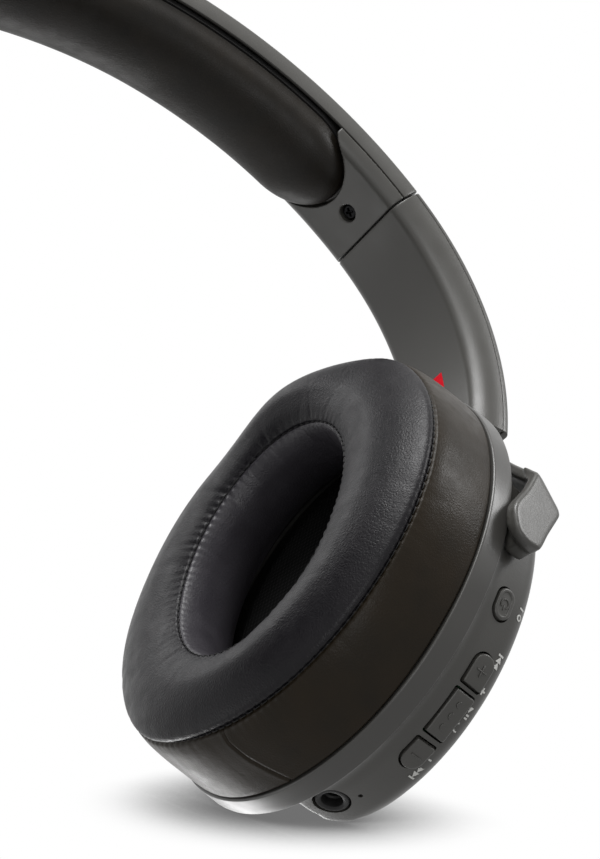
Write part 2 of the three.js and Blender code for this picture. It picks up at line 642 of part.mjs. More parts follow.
/** The fork seen from the side of the head, pushed through: ears and strap less their inner faces, and the head. */
function forkFront() {
  const [from, to] = [-PIVOT_REACH, 2 * PIVOT_REACH];
  const shoulder = (wall, low) => {
    const r = FORK_EAR_ROUND - wall;
    const corner = arc(FORK_EAR_R - FORK_EAR_ROUND, FORK_EAR_SHOULDER - FORK_EAR_ROUND, r, 0, Math.PI / 2, 6);
    return toManifold(prism(bothSides([[FORK_EAR_R - wall, low], ...corner]), 'x', from - wall, to + wall));
  };
  const strap = (wall) => {
    const half = arc(0, 0, FORK_STRAP_R - wall, 0, Math.PI, 24);
    return toManifold(prism(half, 'x', from - wall, to + wall));
  };
  const w = FORK_HEAD_HALF_WIDTH;
  const foot = w + 2.2;
  const headAt = (share) => FORK_STRAP_R + (FORK_TOP - FORK_STRAP_R) * share;
  const head = bothSides([
    [foot, Math.sqrt(FORK_STRAP_R ** 2 - foot ** 2) - 0.2], [w - 0.1, headAt(0)], [w - 0.3, headAt(0.25)],
    [w + 0.1, headAt(0.52)], [w + 0.4, headAt(0.8)], [w, FORK_TOP - 0.5], [w - 0.6, FORK_TOP],
  ]);
  const low = PIVOT_HEIGHT - 12;
  const outside = shoulder(0, low).add(strap(0)).add(toManifold(prism(head, 'x', from, to)));
  return outside.subtract(shoulder(FORK_EAR, low - 1)).subtract(strap(FORK_STRAP));
}

/** A block with two rounded upright edges, so the fork's head is not square towards the outside. */
function forkHeadRounding(from) {
  const w = FORK_HEAD_HALF_WIDTH + 0.5;
  const r = FORK_HEAD_ROUND;
  const x = -BAND_THICKNESS / 2;
  return prism([
    [BEYOND, w], [BEYOND, -w],
    ...arc(x + r, -w + r, r, 1.5 * Math.PI, Math.PI, 4), ...arc(x + r, w - r, r, Math.PI, Math.PI / 2, 4),
  ], 'z', from, FORK_TOP + 1);
}

/** Space the ring, and the lip of the wall behind it, pass through as the cup tilts, in the fork's frame. */
function ringSweep(halfWidth, lip) {
  const back = -RING_DEPTH - CLEARANCE;
  const halfHeight = halfWidth + RING_HALF_HEIGHT - RING_HALF_WIDTH;
  const disc = [[back, halfWidth, halfHeight], [6, halfWidth, halfHeight], [6, 0, 0]];
  const behind = [
    [back - lip, 0, 0], inside(back - lip, HOUSING_STEP - 0.5), inside(back - lip / 2, 0.9), inside(back, 0.1),
  ];
  return [-TILT_RANGE - 1, 0, TILT_RANGE + 1].map((degrees) => {
    const space = elliptic(lip > 0 ? [...behind, ...disc] : [[back, 0, 0], ...disc], 36, false);
    space.translate(PIVOT_DEPTH, 0, PIVOT_DROP).rotateY(-CUP_TILT + degrees * DEG);
    return space.translate(PIVOT_REACH, 0, PIVOT_HEIGHT);
  });
}

// ---------------------------------------------------------------- ear cups

/**
 * Revolves [x, half width, half height] points round the cup's axis as ellipses. The profile may depend on
 * the angle. A looped profile makes a ring, any other starts and ends on the axis and makes a solid.
 */
function elliptic(profile, sides, loop) {
  const rings = [];
  for (let i = 0; i < sides; i += 1) {
    const t = (i / sides) * 2 * Math.PI;
    const points = typeof profile === 'function' ? profile(t) : profile;
    rings.push(points.map(([x, w, h]) => new THREE.Vector3(x, w * Math.cos(t), h * Math.sin(t))));
  }
  if (loop) return loft(rings, true);
  const n = rings[0].length;
  const index = [];
  for (let i = 0; i < sides; i += 1) {
    const j = (i + 1) % sides;
    for (let k = 0; k < n - 1; k += 1) {
      index.push(i * n + k, i * n + k + 1, j * n + k + 1, i * n + k, j * n + k + 1, j * n + k);
    }
  }
  const g = new THREE.BufferGeometry();
  g.setAttribute('position', new THREE.Float32BufferAttribute(rings.flat().flatMap((v) => [v.x, v.y, v.z]), 3));
  g.setIndex(index);
  return g;
}

/** A profile point at depth x, a given distance inside the ring's outline. */
const inside = (x, inset) => [x, RING_HALF_WIDTH - inset, RING_HALF_HEIGHT - inset];

function trimRing() {
  const back = -RING_DEPTH;
  return elliptic([
    inside(0, 0.25), inside(-0.25, 0), inside(back + 0.3, -RING_FLARE), inside(back, 0.1 - RING_FLARE),
    inside(back, RING_WALL), inside(0, RING_WALL),
  ], 48, true);
}

/** Half width of the cup's raised wall at a height below the middle. */
function wallRadius(drop) {
  return (RING_HALF_WIDTH - HOUSING_STEP) * Math.sqrt(1 - (drop / (RING_HALF_HEIGHT - HOUSING_STEP)) ** 2);
}

/** Leans the cup's back: from nothing at the ring to the full lean where its edge begins to round over. */
function leaned(geometry) {
  const p = geometry.attributes.position;
  for (let i = 0; i < p.count; i += 1) {
    const x = p.getX(i);
    const share = Math.min(1, Math.max(0, (-x - 8) / (HOUSING_DEPTH - 8)));
    p.setX(i, x + share * (BACK_LEAN_MIDDLE + BACK_LEAN * p.getZ(i)));
  }
  return geometry;
}

const BACK_EDGE_ARC = arc(0, 0, HOUSING_ROUND, Math.PI / 2, 0.42, 3);
const BACK_FACE = -HOUSING_DEPTH - HOUSING_ROUND * Math.cos(0.42);

// What is rounded off the raised wall's far lower corner, [x, y]
const PANEL_CORNER = [
  [-11.5, -BEYOND], [-11.5, -5], [-13.5, -4], [-15, -2.4], [-16, -0.4], [-17, 2.6], [-18, 7], [-30, 14], [-30, -BEYOND],
];

/** Solid of the raised wall that carries the keys, a given thickness inside its outer face. */
function panelSolid(offset) {
  const wallEnd = HOUSING_STEP + HOUSING_TAPER;
  const start = -RING_DEPTH - CLEARANCE;
  const round = BACK_EDGE_ARC.map(([a, b]) =>
    inside(-HOUSING_DEPTH - a + offset * (a / HOUSING_ROUND), wallEnd + HOUSING_ROUND - b + offset));
  const front = offset > 0
    ? [[1, 0, 0], inside(1, HOUSING_STEP + offset)]
    : [[start, 0, 0], inside(start, 0.7), inside(start - 0.5, 1.3), inside(start - 1.4, HOUSING_STEP - 0.1),
      inside(start - 2.6, HOUSING_STEP)];
  const last = round[round.length - 1];
  const profile = [...front, inside(-8, HOUSING_STEP + offset), ...round, [last[0], 0, 0]];
  const solid = leaned(elliptic(profile, offset > 0 ? 32 : 48, false));
  const edge = PANEL_END_SLOPE * BEYOND;
  const sector = prism([
    [offset, PANEL_TOP - offset], [BEYOND, PANEL_TOP - offset], [BEYOND, -BEYOND], [offset - edge, -BEYOND], [offset, 0],
  ], 'x', -BEYOND, BEYOND);
  const corner = prism(PANEL_CORNER.map(([x, y]) => [x + offset, y + offset]), 'z', -BEYOND, -RING_HALF_HEIGHT / 2);
  return toManifold(solid).intersect(toManifold(sector)).subtract(toManifold(corner));
}

/** Solid of the round body inside the fork. */
function neckSolid(offset) {
  const r = HOUSING_NECK_R - offset;
  const start = offset > 0 ? 1 : -RING_DEPTH - CLEARANCE;
  const round = BACK_EDGE_ARC.map(([a, b]) => {
    const radius = r - HOUSING_ROUND + b;
    return [-HOUSING_DEPTH - a + offset * (a / HOUSING_ROUND), radius, radius];
  });
  const last = round[round.length - 1];
  const profile = [[start, 0, 0], [start, r, r], [-8, r, r], ...round, [last[0], 0, 0]];
  return toManifold(leaned(elliptic(profile, offset > 0 ? 24 : 36, false)));
}

/** A point on the cup's wall: angle on the rim in degrees, depth behind the ring, height off the wall. */
function wallFrame(angle, depth) {
  const t = angle * DEG;
  const w = RING_HALF_WIDTH - HOUSING_STEP;
  const h = RING_HALF_HEIGHT - HOUSING_STEP;
  const at = new THREE.Vector3(-depth, w * Math.cos(t), h * Math.sin(t));
  const along = new THREE.Vector3(0, -w * Math.sin(t), h * Math.cos(t)).normalize();
  const out = new THREE.Vector3(0, along.z, -along.y);
  return new THREE.Matrix4().makeBasis(new THREE.Vector3(-1, 0, 0), along, out).setPosition(at);
}

/** Outline of a key in [depth, along] measured from its middle, with round ends where asked. */
function keyOutline(halfWidth, halfLength, roundLow, roundHigh) {
  const r = halfWidth;
  const points = [];
  if (roundHigh) points.push(...arc(0, halfLength - r, r, 0, Math.PI, 8));
  else points.push([halfWidth, halfLength], [-halfWidth, halfLength]);
  if (roundLow) points.push(...arc(0, -halfLength + r, r, Math.PI, 2 * Math.PI, 8));
  else points.push([-halfWidth, -halfLength], [halfWidth, -halfLength]);
  return points;
}

/** The four keys: where they sit, and the outline of each. */
const KEYS = [
  {
    name: 'power_button', angle: POWER_ANGLE, depth: POWER_DEPTH, half: POWER_HALF_LENGTH, width: POWER_HALF_WIDTH,
    low: true, high: true,
  },
  keySpan('volume_up_button', VOLUME_UP_ANGLES, false, true),
  keySpan('play_button', PLAY_ANGLES, false, false),
  keySpan('volume_down_button', VOLUME_DOWN_ANGLES, true, false),
];

function keySpan(name, angles, low, high) {
  const angle = (angles[0] + angles[1]) / 2;
  const ends = angles.map((a) => new THREE.Vector3().setFromMatrixPosition(wallFrame(a, KEY_DEPTH)));
  return { name, angle, depth: KEY_DEPTH, half: ends[0].distanceTo(ends[1]) / 2, width: KEY_HALF_WIDTH, low, high };
}

/** A key stands up along its own axis, domed a little by following the wall. */
function keyBody(key) {
  const outline = keyOutline(key.width, key.half, key.low, key.high);
  const rings = [
    [1, -KEY_LENGTH_IN], [1, KEY_PROUD - 0.35], [0.86, KEY_PROUD],
  ].map(([scale, z]) => outline.map(([a, b]) => {
    const t = 1 - (1 - scale) * 1.4;
    return new THREE.Vector3(a * scale, b * (1 - (1 - t) * (key.width / key.half)), z);
  }));
  return loft(rings).applyMatrix4(wallFrame(key.angle, key.depth));
}

function keyHole(key) {
  const outline = keyOutline(key.width + KEY_GAP, key.half + KEY_GAP, key.low, key.high);
  return loft([-6, 4].map((z) => outline.map(([a, b]) => new THREE.Vector3(a, b, z))))
    .applyMatrix4(wallFrame(key.angle, key.depth));
}

const SWITCH_TOP = -KEY_LENGTH_IN - KEY_TRAVEL - 0.35;

/** A small push switch under a key. */
function switchUnder(key) {
  const half = SWITCH_SIZE / 2;
  return box(-half, half, -half, half, SWITCH_TOP - SWITCH_HEIGHT, SWITCH_TOP)
    .applyMatrix4(wallFrame(key.angle, key.depth));
}

/** Curved strip of board that carries the four switches. */
function keyBoard() {
  const out = HOUSING_STEP - SWITCH_TOP + SWITCH_HEIGHT + CLEARANCE;
  const [low, high] = KEY_BOARD_ANGLES;
  const edge = (inset, from, to) => Array.from({ length: 15 }, (_, i) => {
    const t = (from + ((to - from) * i) / 14) * DEG;
    return [(RING_HALF_WIDTH - inset) * Math.cos(t), (RING_HALF_HEIGHT - inset) * Math.sin(t)];
  });
  const outline = [...edge(out, low, high), ...edge(out + KEY_BOARD_THICKNESS, high, low)];
  return prism(outline, 'x', -KEY_DEPTH - KEY_BOARD_BEHIND, -KEY_DEPTH + KEY_BOARD_AHEAD);
}

function backHousing(side) {
  let result = panelSolid(0).add(neckSolid(0));
  result = result.subtract(panelSolid(HOUSING_WALL)).subtract(neckSolid(HOUSING_WALL));
  const grow = CLEARANCE;
  const opening = elliptic([
    [-BEYOND, 0, 0], [-BEYOND, CAP_HALF_WIDTH + grow, CAP_HALF_HEIGHT + grow],
    [-RING_WALL, CAP_HALF_WIDTH + grow, CAP_HALF_HEIGHT + grow], [-RING_WALL, 0, 0],
  ], 36, false);
  result = result.subtract(toManifold(opening));
  for (const sign of [1, -1]) {
    const from = sign * (HOUSING_NECK_R - 4);
    const hole = rod('y', PIVOT_PIN_R + CLEARANCE, from, sign * BEYOND, [-PIVOT_DEPTH, -PIVOT_DROP], 16);
    result = result.subtract(toManifold(hole));
  }
  if (side === 'right') {
    for (const key of KEYS) result = result.subtract(toManifold(keyHole(key)));
    const bore = rod('z', JACK_BODY_R + CLEARANCE, -JACK_LENGTH - 0.5, 4).applyMatrix4(wallFrame(JACK_ANGLE, JACK_DEPTH));
    const mic = rod('z', MIC_HOLE_R, -6, 4, [0, 0], 8).applyMatrix4(wallFrame(MIC_ANGLE, MIC_DEPTH));
    result = result.subtract(toManifold(bore)).subtract(toManifold(mic));
  }
  return fromManifold(result);
}

/** Outer cover: a plug in the housing's opening with a shallow dome and a flat face. */
function outerCap() {
  const at = (x, inset) => [x, CAP_HALF_WIDTH - inset, CAP_HALF_HEIGHT - inset];
  return leaned(elliptic([
    [BACK_FACE + HOUSING_WALL, 0, 0], at(BACK_FACE + HOUSING_WALL, 0), at(BACK_FACE - 0.4, 0), at(BACK_FACE - 1.1, 0.8),
    at(-CAP_FACE_DEPTH, 3.4), [-CAP_FACE_DEPTH, 0, 0],
  ], 36, false));
}

function baffle() {
  const rim = RING_WALL + CLEARANCE;
  const x = -BAFFLE_DEPTH;
  return elliptic([
    inside(x, rim), inside(x + BAFFLE_THICKNESS, rim),
    [x + BAFFLE_THICKNESS, DRIVER_R - 1.2, DRIVER_R - 1.2], [x, DRIVER_R - 1.2, DRIVER_R - 1.2],
  ], 32, true);
}

/** Driver behind the baffle: a rim, a dished cone and its magnet. */
function driver() {
  const front = -BAFFLE_DEPTH - CLEARANCE;
  const at = (x, r) => [x, r, r];
  return elliptic([
    at(front - 1.4, 0), at(front - 0.5, 5), at(front - 1.6, 9), at(front - 0.6, DRIVER_R - 2.4),
    at(front, DRIVER_R - 1.4), at(front, DRIVER_R), at(front - DRIVER_RIM, DRIVER_R),
    at(front - DRIVER_RIM - 0.8, MAGNET_R + 3), at(front - DRIVER_RIM - 0.8, 0),
  ], 24, false);
}

function magnet() {
  const front = -BAFFLE_DEPTH - 2 * CLEARANCE - DRIVER_RIM - 0.8;
  return rod('x', MAGNET_R, front - MAGNET_DEPTH + 1.2, front, [0, 0], 24);
}

function dustCloth() {
  const x = -BAFFLE_DEPTH + BAFFLE_THICKNESS + CLEARANCE;
  return elliptic([
    [x, 0, 0], [x, PAD_MOUTH_HALF_WIDTH + 5, PAD_MOUTH_HALF_HEIGHT + 5],
    [x + CLOTH_THICKNESS, PAD_MOUTH_HALF_WIDTH + 5, PAD_MOUTH_HALF_HEIGHT + 5], [x + CLOTH_THICKNESS, 0, 0],
  ], 36, false);
}

/** Plastic frame that the ear pad is drawn over, and that clips into the ring. */
function padFrame() {
  const x = CLEARANCE;
  return elliptic([
    inside(x, 3.2), inside(x + 1.1, 3.2), inside(x + 1.1, 13), inside(x, 13),
  ], 32, true);
}

// Crown between the two seams: share of the way out from the mouth, depth, and how much it swells at the top
const PAD_CROWN = [
  [0.985, 15.2, 0.5], [0.93, 16.1, 1.4], [0.86, 16.9, 2.1], [0.75, 17.9, 2.5], [0.62, 18.7, 2.6],
  [0.45, 19.3, 2.2], [0.3, 19.2, 1.6], [0.14, 18.7, 0.9],
];

/** Ear pad: a soft ring with a crowned front between its two seams and sides that draw in to the ring. */
function earPad() {
  const mouth = (x, grow) => [x, PAD_MOUTH_HALF_WIDTH + grow, PAD_MOUTH_HALF_HEIGHT + grow];
  const share = (t, x) => [
    x,
    PAD_MOUTH_HALF_WIDTH + (PAD_SEAM_HALF_WIDTH - PAD_MOUTH_HALF_WIDTH) * t,
    PAD_MOUTH_HALF_HEIGHT + (PAD_SEAM_HALF_HEIGHT - PAD_MOUTH_HALF_HEIGHT) * t,
  ];
  const flank = (t, bulge) => {
    const [x, w, h] = inside(0.8, 0.6);
    return [x + (PAD_SEAM_DEPTH - x) * t, w + (PAD_SEAM_HALF_WIDTH - w) * t + bulge,
      h + (PAD_SEAM_HALF_HEIGHT - h) * t + bulge];
  };
  return elliptic((angle) => {
    const fromTop = Math.abs(Math.atan2(Math.cos(angle), Math.sin(angle)));
    const top = fromTop < PAD_TOP_SWELL_SPREAD ? (1 + Math.cos((Math.PI * fromTop) / PAD_TOP_SWELL_SPREAD)) / 2 : 0;
    const crown = PAD_CROWN.map(([t, x, swell]) => share(t, x + (swell / 2.6) * PAD_TOP_SWELL * top));
    return [
      inside(PAD_SEAT, 13.4), inside(PAD_SEAT, 2.4), inside(0.8, 1.8), flank(0, 0), flank(0.28, 0.2), flank(0.56, 0.4),
      flank(0.84, 0.5), share(1, PAD_SEAM_DEPTH), ...crown, mouth(PAD_MOUTH_DEPTH, 0),
      mouth(PAD_MOUTH_DEPTH - 4, 0.7), mouth(PAD_MOUTH_DEPTH - 10, 2.2), mouth(PAD_SEAT + 0.6, 3.6),
    ];
  }, 40, true);
}

/** Steel pin on which a cup tilts, headed inside the cup's wall: 1 at the rear, -1 at the front. */
function pivotPin(sign) {
  const wall = sign > 0 ? wallRadius(PIVOT_DROP) : HOUSING_NECK_R;
  const headAt = wall - HOUSING_WALL - 2 * CLEARANCE;
  const centre = [-PIVOT_DEPTH, -PIVOT_DROP];
  const shaft = rod('y', PIVOT_PIN_R, sign * (headAt - 0.8), sign * (FORK_EAR_R - PIVOT_CAP - CLEARANCE), centre, 14);
  const head = rod('y', PIVOT_HEAD_R - 0.6, sign * (headAt - 1.2), sign * headAt, centre, 14);
  return carve(shaft, { add: [head] });
}

function circuitBoard() {
  const [back, front] = [-BOARD_DEPTH - BOARD_THICKNESS / 2, -BOARD_DEPTH + BOARD_THICKNESS / 2];
  return box(back, front, -BOARD_FRONT, BOARD_REAR, -BOARD_BELOW, BOARD_ABOVE);
}

/** Flat cell under the driver, behind the lower half of the cup. */
function battery() {
  const back = -CELL_DEPTH - CELL_THICKNESS;
  const inside = HOUSING_NECK_R - HOUSING_WALL - CLEARANCE;
  const low = -Math.sqrt(inside ** 2 - CELL_HALF_LENGTH ** 2);
  return box(back, -CELL_DEPTH, -CELL_HALF_LENGTH, CELL_HALF_LENGTH, low, low + CELL_HEIGHT);
}

function jackSocket() {
  const body = rod('z', JACK_BODY_R, -JACK_LENGTH, -0.35, [0, 0], 20);
  const bore = rod('z', JACK_BORE_R, -JACK_LENGTH + 1.5, 2, [0, 0], 20);
  return carve(body, { cut: [bore] }).applyMatrix4(wallFrame(JACK_ANGLE, JACK_DEPTH));
}

// ---------------------------------------------------------------- assembly

function mirrored(geometry) {
  const g = closed(geometry.clone().scale(-1, 1, 1));
  return g;
}

function named(name, geometry, material) {
  const g = closed(geometry);
  g.computeVertexNormals();
  const mesh = new THREE.Mesh(g, material);
  mesh.name = name;
  return mesh;
}

/** One side of the headset: shapes are drawn for the right and mirrored for the left. */
function sideAssembly(side) {
  const right = side === 'right';
  const flip = right ? 1 : -1;
  const shape = (g) => (right ? g : mirrored(g));
  const piece = (name, g, material) => named(`${name}_${side}`, shape(g), material);

  const arm = new THREE.Group();
  arm.add(
    piece('arm_housing', armHousing(), SOFT_TOUCH),
    piece('arm_cover', armCover(), SOFT_TOUCH),
    piece('slider_tongue', tongue(), STEEL),
    piece('arm_screw_upper', armScrew(ARM_SCREW_AT[0]), BLACK_SCREW),
    piece('arm_screw_lower', armScrew(ARM_SCREW_AT[1]), BLACK_SCREW),
    piece('swivel_pin', swivelPin(), STEEL),
    piece('end_cap', endCap(), SOFT_TOUCH),
    piece('end_cap_screw', capScrew(), BLACK_SCREW),
  );

  const swivel = new THREE.Group();
  swivel.position.set(-flip * SWIVEL_X, 0, 0);
  swivel.rotation.z = flip * SWIVEL_ANGLE;
  swivel.add(piece('fork', fork(), SOFT_TOUCH));

  const tilt = new THREE.Group();
  tilt.position.set(flip * PIVOT_REACH, 0, PIVOT_HEIGHT);
  tilt.rotation.y = -flip * CUP_TILT;
  const cup = new THREE.Group();
  cup.position.set(flip * PIVOT_DEPTH, 0, PIVOT_DROP);
  cup.add(
    piece('trim_ring', trimRing(), SATIN_RING),
    piece('back_housing', backHousing(side), SOFT_TOUCH),
    piece('outer_cap', outerCap(), SOFT_TOUCH),
    piece('baffle', baffle(), DARK_PLASTIC),
    piece('driver', driver(), DARK_PLASTIC),
    piece('magnet', magnet(), STEEL),
    piece('dust_cloth', dustCloth(), CLOTH),
    piece('pad_frame', padFrame(), DARK_PLASTIC),
    piece('ear_pad', earPad(), LEATHERETTE),
    piece('pivot_pin_rear', pivotPin(1), STEEL),
    piece('pivot_pin_front', pivotPin(-1), STEEL),
  );
  if (right) {
    cup.add(
      piece('circuit_board', circuitBoard(), BOARD_GREEN),
      piece('key_board', keyBoard(), BOARD_GREEN),
      piece('jack_socket', jackSocket(), DARK_PLASTIC),
    );
    for (const key of KEYS) {
      cup.add(named(key.name, keyBody(key), SOFT_TOUCH));
      cup.add(named(key.name.replace('button', 'switch'), switchUnder(key), DARK_PLASTIC));
    }
  } else {
    cup.add(piece('battery', battery(), CELL_SILVER));
  }
  tilt.add(cup);
  swivel.add(tilt);

  const group = new THREE.Group();
  group.add(arm, swivel);
  return group;
}

const headset = new THREE.Group();
headset.name = 'headset';
headset.add(
  named('headband_shell', headbandShell(), SOFT_TOUCH),
  named('headband_cushion', headbandCushion(), LEATHERETTE),
  named('headband_pad_base', padBase(), DARK_PLASTIC),
  named('headband_spring', springStrip(), STEEL),
  sideAssembly('right'),
  sideAssembly('left'),
);

export default headset;
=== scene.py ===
"""Wireless over-ear headset: the looks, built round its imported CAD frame.

The sizes in the dataclasses are millimetres, as on the part's drawing. Meshes are in metres in the row frame:
+Z up, the wearer faces -Y and the right ear is at -X. Shapes are drawn for the right side and mirrored.
"""

from __future__ import annotations

import logging
import math
from dataclasses import dataclass, field
from enum import Enum
from typing import Any, Callable, Iterable, Sequence

import bmesh
import bpy
import numpy as np
from mathutils import Matrix, Vector
from mathutils.bvhtree import BVHTree

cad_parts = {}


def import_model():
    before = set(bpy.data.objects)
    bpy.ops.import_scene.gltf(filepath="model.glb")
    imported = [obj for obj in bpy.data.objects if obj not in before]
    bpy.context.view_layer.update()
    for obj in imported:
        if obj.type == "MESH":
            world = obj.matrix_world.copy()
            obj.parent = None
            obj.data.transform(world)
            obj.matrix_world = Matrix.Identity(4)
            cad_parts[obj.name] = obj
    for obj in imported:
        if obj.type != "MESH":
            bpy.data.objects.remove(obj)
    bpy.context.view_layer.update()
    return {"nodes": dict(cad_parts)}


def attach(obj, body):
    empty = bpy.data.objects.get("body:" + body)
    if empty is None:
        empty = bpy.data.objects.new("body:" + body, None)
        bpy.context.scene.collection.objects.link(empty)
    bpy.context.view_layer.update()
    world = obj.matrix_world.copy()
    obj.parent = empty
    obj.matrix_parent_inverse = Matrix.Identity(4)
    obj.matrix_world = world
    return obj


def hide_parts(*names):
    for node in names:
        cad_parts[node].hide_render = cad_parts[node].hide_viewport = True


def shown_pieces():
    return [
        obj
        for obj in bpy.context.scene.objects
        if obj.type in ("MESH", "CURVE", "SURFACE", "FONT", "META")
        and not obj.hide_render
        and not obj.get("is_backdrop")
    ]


LOG = logging.getLogger("headset")
MM = 0.001
Piece = bpy.types.Object
Node, Socket, Tree = bpy.types.Node, bpy.types.NodeSocket, bpy.types.NodeTree
Points = np.ndarray
Outline = Sequence[Sequence[float]]


class Side(Enum):
    """A side of the headset, with the sign that mirrors shapes drawn for the right."""

    RIGHT = 1
    LEFT = -1

    @property
    def label(self) -> str:
        """Suffix of this side's bodies and nodes."""
        return self.name.lower()

    def turn(self, points: Points) -> Points:
        """Points drawn for the right side, on this side."""
        return points * np.array([self.value, 1.0, 1.0])


# ---------------------------------------------------------------- meshes


def face_outwards(mesh: bpy.types.Mesh) -> None:
    """Flips a closed mesh whose faces point inwards.

    Args:
        mesh: The mesh, changed in place.
    """
    mesh.calc_loop_triangles()
    co = np.array([v.co for v in mesh.vertices], float)
    tri = np.array([t.vertices for t in mesh.loop_triangles])
    a, b, c = co[tri[:, 0]], co[tri[:, 1]], co[tri[:, 2]]
    if np.einsum("ij,ij->i", a, np.cross(b, c)).sum() < 0:
        mesh.flip_normals()
    mesh.update()


def mesh_object(name: str, verts: Points, faces: list[list[int]], crease: float = 35) -> Piece:
    """Makes an object from points in mm and faces, merged, closed and smooth up to an angle.

    Args:
        name: Name of the piece.
        verts: Points in mm in the row frame.
        faces: Point numbers of each face.
        crease: Degrees past which an edge stays sharp.

    Returns:
        The linked object.
    """
    mesh = bpy.data.meshes.new(name)
    mesh.from_pydata((verts * MM).tolist(), [], faces)
    work = bmesh.new()
    work.from_mesh(mesh)
    bmesh.ops.remove_doubles(work, verts=work.verts, dist=1e-7)
    bmesh.ops.dissolve_degenerate(work, edges=work.edges, dist=1e-8)
    work.to_mesh(mesh)
    work.free()
    face_outwards(mesh)
    mesh.shade_smooth()
    mesh.set_sharp_from_angle(angle=math.radians(crease))
    made = bpy.data.objects.new(name, mesh)
    bpy.context.scene.collection.objects.link(made)
    return made


def skin(name: str, rings: Points, loop: bool = False, crease: float = 35) -> Piece:
    """Skins equal rings of points, with flat ends unless the row of rings closes on itself.

    Args:
        name: Name of the piece.
        rings: Array of rings x points x 3, in mm.
        loop: True where the last ring joins the first.
        crease: Degrees past which an edge stays sharp.

    Returns:
        The linked object.
    """
    m, n = rings.shape[:2]
    i, k = np.meshgrid(np.arange(m if loop else m - 1), np.arange(n), indexing="ij")
    j, l = (i + 1) % m, (k + 1) % n
    faces = np.stack([i * n + k, i * n + l, j * n + l, j * n + k], -1).reshape(-1, 4).tolist()
    if not loop:
        faces += [list(range(n))[::-1], [(m - 1) * n + v for v in range(n)]]
    return mesh_object(name, rings.reshape(-1, 3), faces, crease)


def joined(name: str, parts: Sequence[Piece]) -> Piece:
    """Joins several objects into one mesh.

    Args:
        name: Name of the joined piece.
        parts: Objects to join, removed afterwards.

    Returns:
        The first object, now holding all the meshes.
    """
    with bpy.context.temp_override(active_object=parts[0], selected_editable_objects=list(parts)):
        bpy.ops.object.join()
    parts[0].name = name
    parts[0].data.name = name
    return parts[0]


def settle(piece: Piece) -> Piece:
    """Turns a piece's modifiers into its plain mesh.

    Args:
        piece: Object with modifiers.

    Returns:
        The same object, without modifiers.
    """
    bpy.context.view_layer.update()
    depsgraph = bpy.context.evaluated_depsgraph_get()
    mesh = bpy.data.meshes.new_from_object(piece.evaluated_get(depsgraph))
    piece.modifiers.clear()
    piece.data = mesh
    return piece


def boolean(piece: Piece, operation: str, *others: Piece) -> Piece:
    """Joins, cuts or keeps a body by other bodies, which are then removed.

    Args:
        piece: The body that is changed.
        operation: UNION, DIFFERENCE or INTERSECT.
        others: Closed bodies.

    Returns:
        The changed body.
    """
    for other in others:
        step = piece.modifiers.new("boolean", "BOOLEAN")
        step.operation, step.solver, step.object = operation, "EXACT", other
    settle(piece)
    for other in others:
        bpy.data.objects.remove(other)
    return piece


def moulded(piece: Piece, voxel: float, rounding: int) -> Piece:
    """Remeshes a body finely and softens its edges, as a mould's radii do.

    Args:
        piece: Closed body.
        voxel: Size of the remesh in mm.
        rounding: How many passes of smoothing.

    Returns:
        The same object.
    """
    remesh = piece.modifiers.new("remesh", "REMESH")
    remesh.mode, remesh.voxel_size, remesh.use_smooth_shade = "VOXEL", voxel * MM, True
    smooth = piece.modifiers.new("smooth", "SMOOTH")
    smooth.factor, smooth.iterations = 0.5, rounding
    settle(piece)
    piece.data.shade_smooth()
    return piece


def arc(cx: float, cy: float, r: float, start: float, end: float, steps: int) -> list[list[float]]:
    """Points of an arc, both ends included.

    Args:
        cx: Centre.
        cy: Centre.
        r: Radius.
        start: First angle in degrees.
        end: Last angle in degrees.
        steps: Number of chords.

    Returns:
        Points [a, b].
    """
    angles = np.radians(np.linspace(start, end, steps + 1))
    return [[cx + r * math.cos(t), cy + r * math.sin(t)] for t in angles]


def both_sides(half: Outline) -> list[list[float]]:
    """An outline whose half with a >= 0 is given, with its mirror image."""
    return [list(p) for p in half] + [[-p[0], p[1]] for p in reversed(half)]


def inset(outline: Points, distance: float) -> Points:
    """Moves a closed outline inwards.

    Args:
        outline: Points [a, b] in order.
        distance: How far, in mm.

    Returns:
        The moved points.
    """
    before, after = np.roll(outline, 1, axis=0), np.roll(outline, -1, axis=0)
    e1, e2 = outline - before, after - outline
    e1 = e1 / np.maximum(np.linalg.norm(e1, axis=1, keepdims=True), 1e-9)
    e2 = e2 / np.maximum(np.linalg.norm(e2, axis=1, keepdims=True), 1e-9)
    n1 = np.stack([-e1[:, 1], e1[:, 0]], 1)
    n2 = np.stack([-e2[:, 1], e2[:, 0]], 1)
    way = n1 + n2
    way /= np.maximum((way * n1).sum(1, keepdims=True), 0.4)
    area = (before[:, 0] * outline[:, 1] - outline[:, 0] * before[:, 1]).sum()
    return outline + way * distance * (1 if area > 0 else -1)


def spline(controls: Points, samples: int, closed: bool = False) -> Points:
    """A smooth curve through points (Catmull-Rom).

    Args:
        controls: Array whose first axis runs along the curve.
        samples: Points for each span.
        closed: True where the curve joins its start.

    Returns:
        Points along the curve, with the last control if it is open.
    """
    if closed:
        padded = np.concatenate([controls[-1:], controls, controls[:2]])
        spans = len(controls)
    else:
        first, last = 2 * controls[0] - controls[1], 2 * controls[-1] - controls[-2]
        padded = np.concatenate([first[None], controls, last[None]])
        spans = len(controls) - 1
    out = []
    for s in range(spans):
        p0, p1, p2, p3 = padded[s : s + 4]
        for t in np.arange(samples) / samples:
            out.append(0.5 * (2 * p1 + (p2 - p0) * t + (2 * p0 - 5 * p1 + 4 * p2 - p3) * t**2
                              + (3 * p1 - p0 - 3 * p2 + p3) * t**3))
    if not closed:
        out.append(controls[-1])
    return np.array(out)


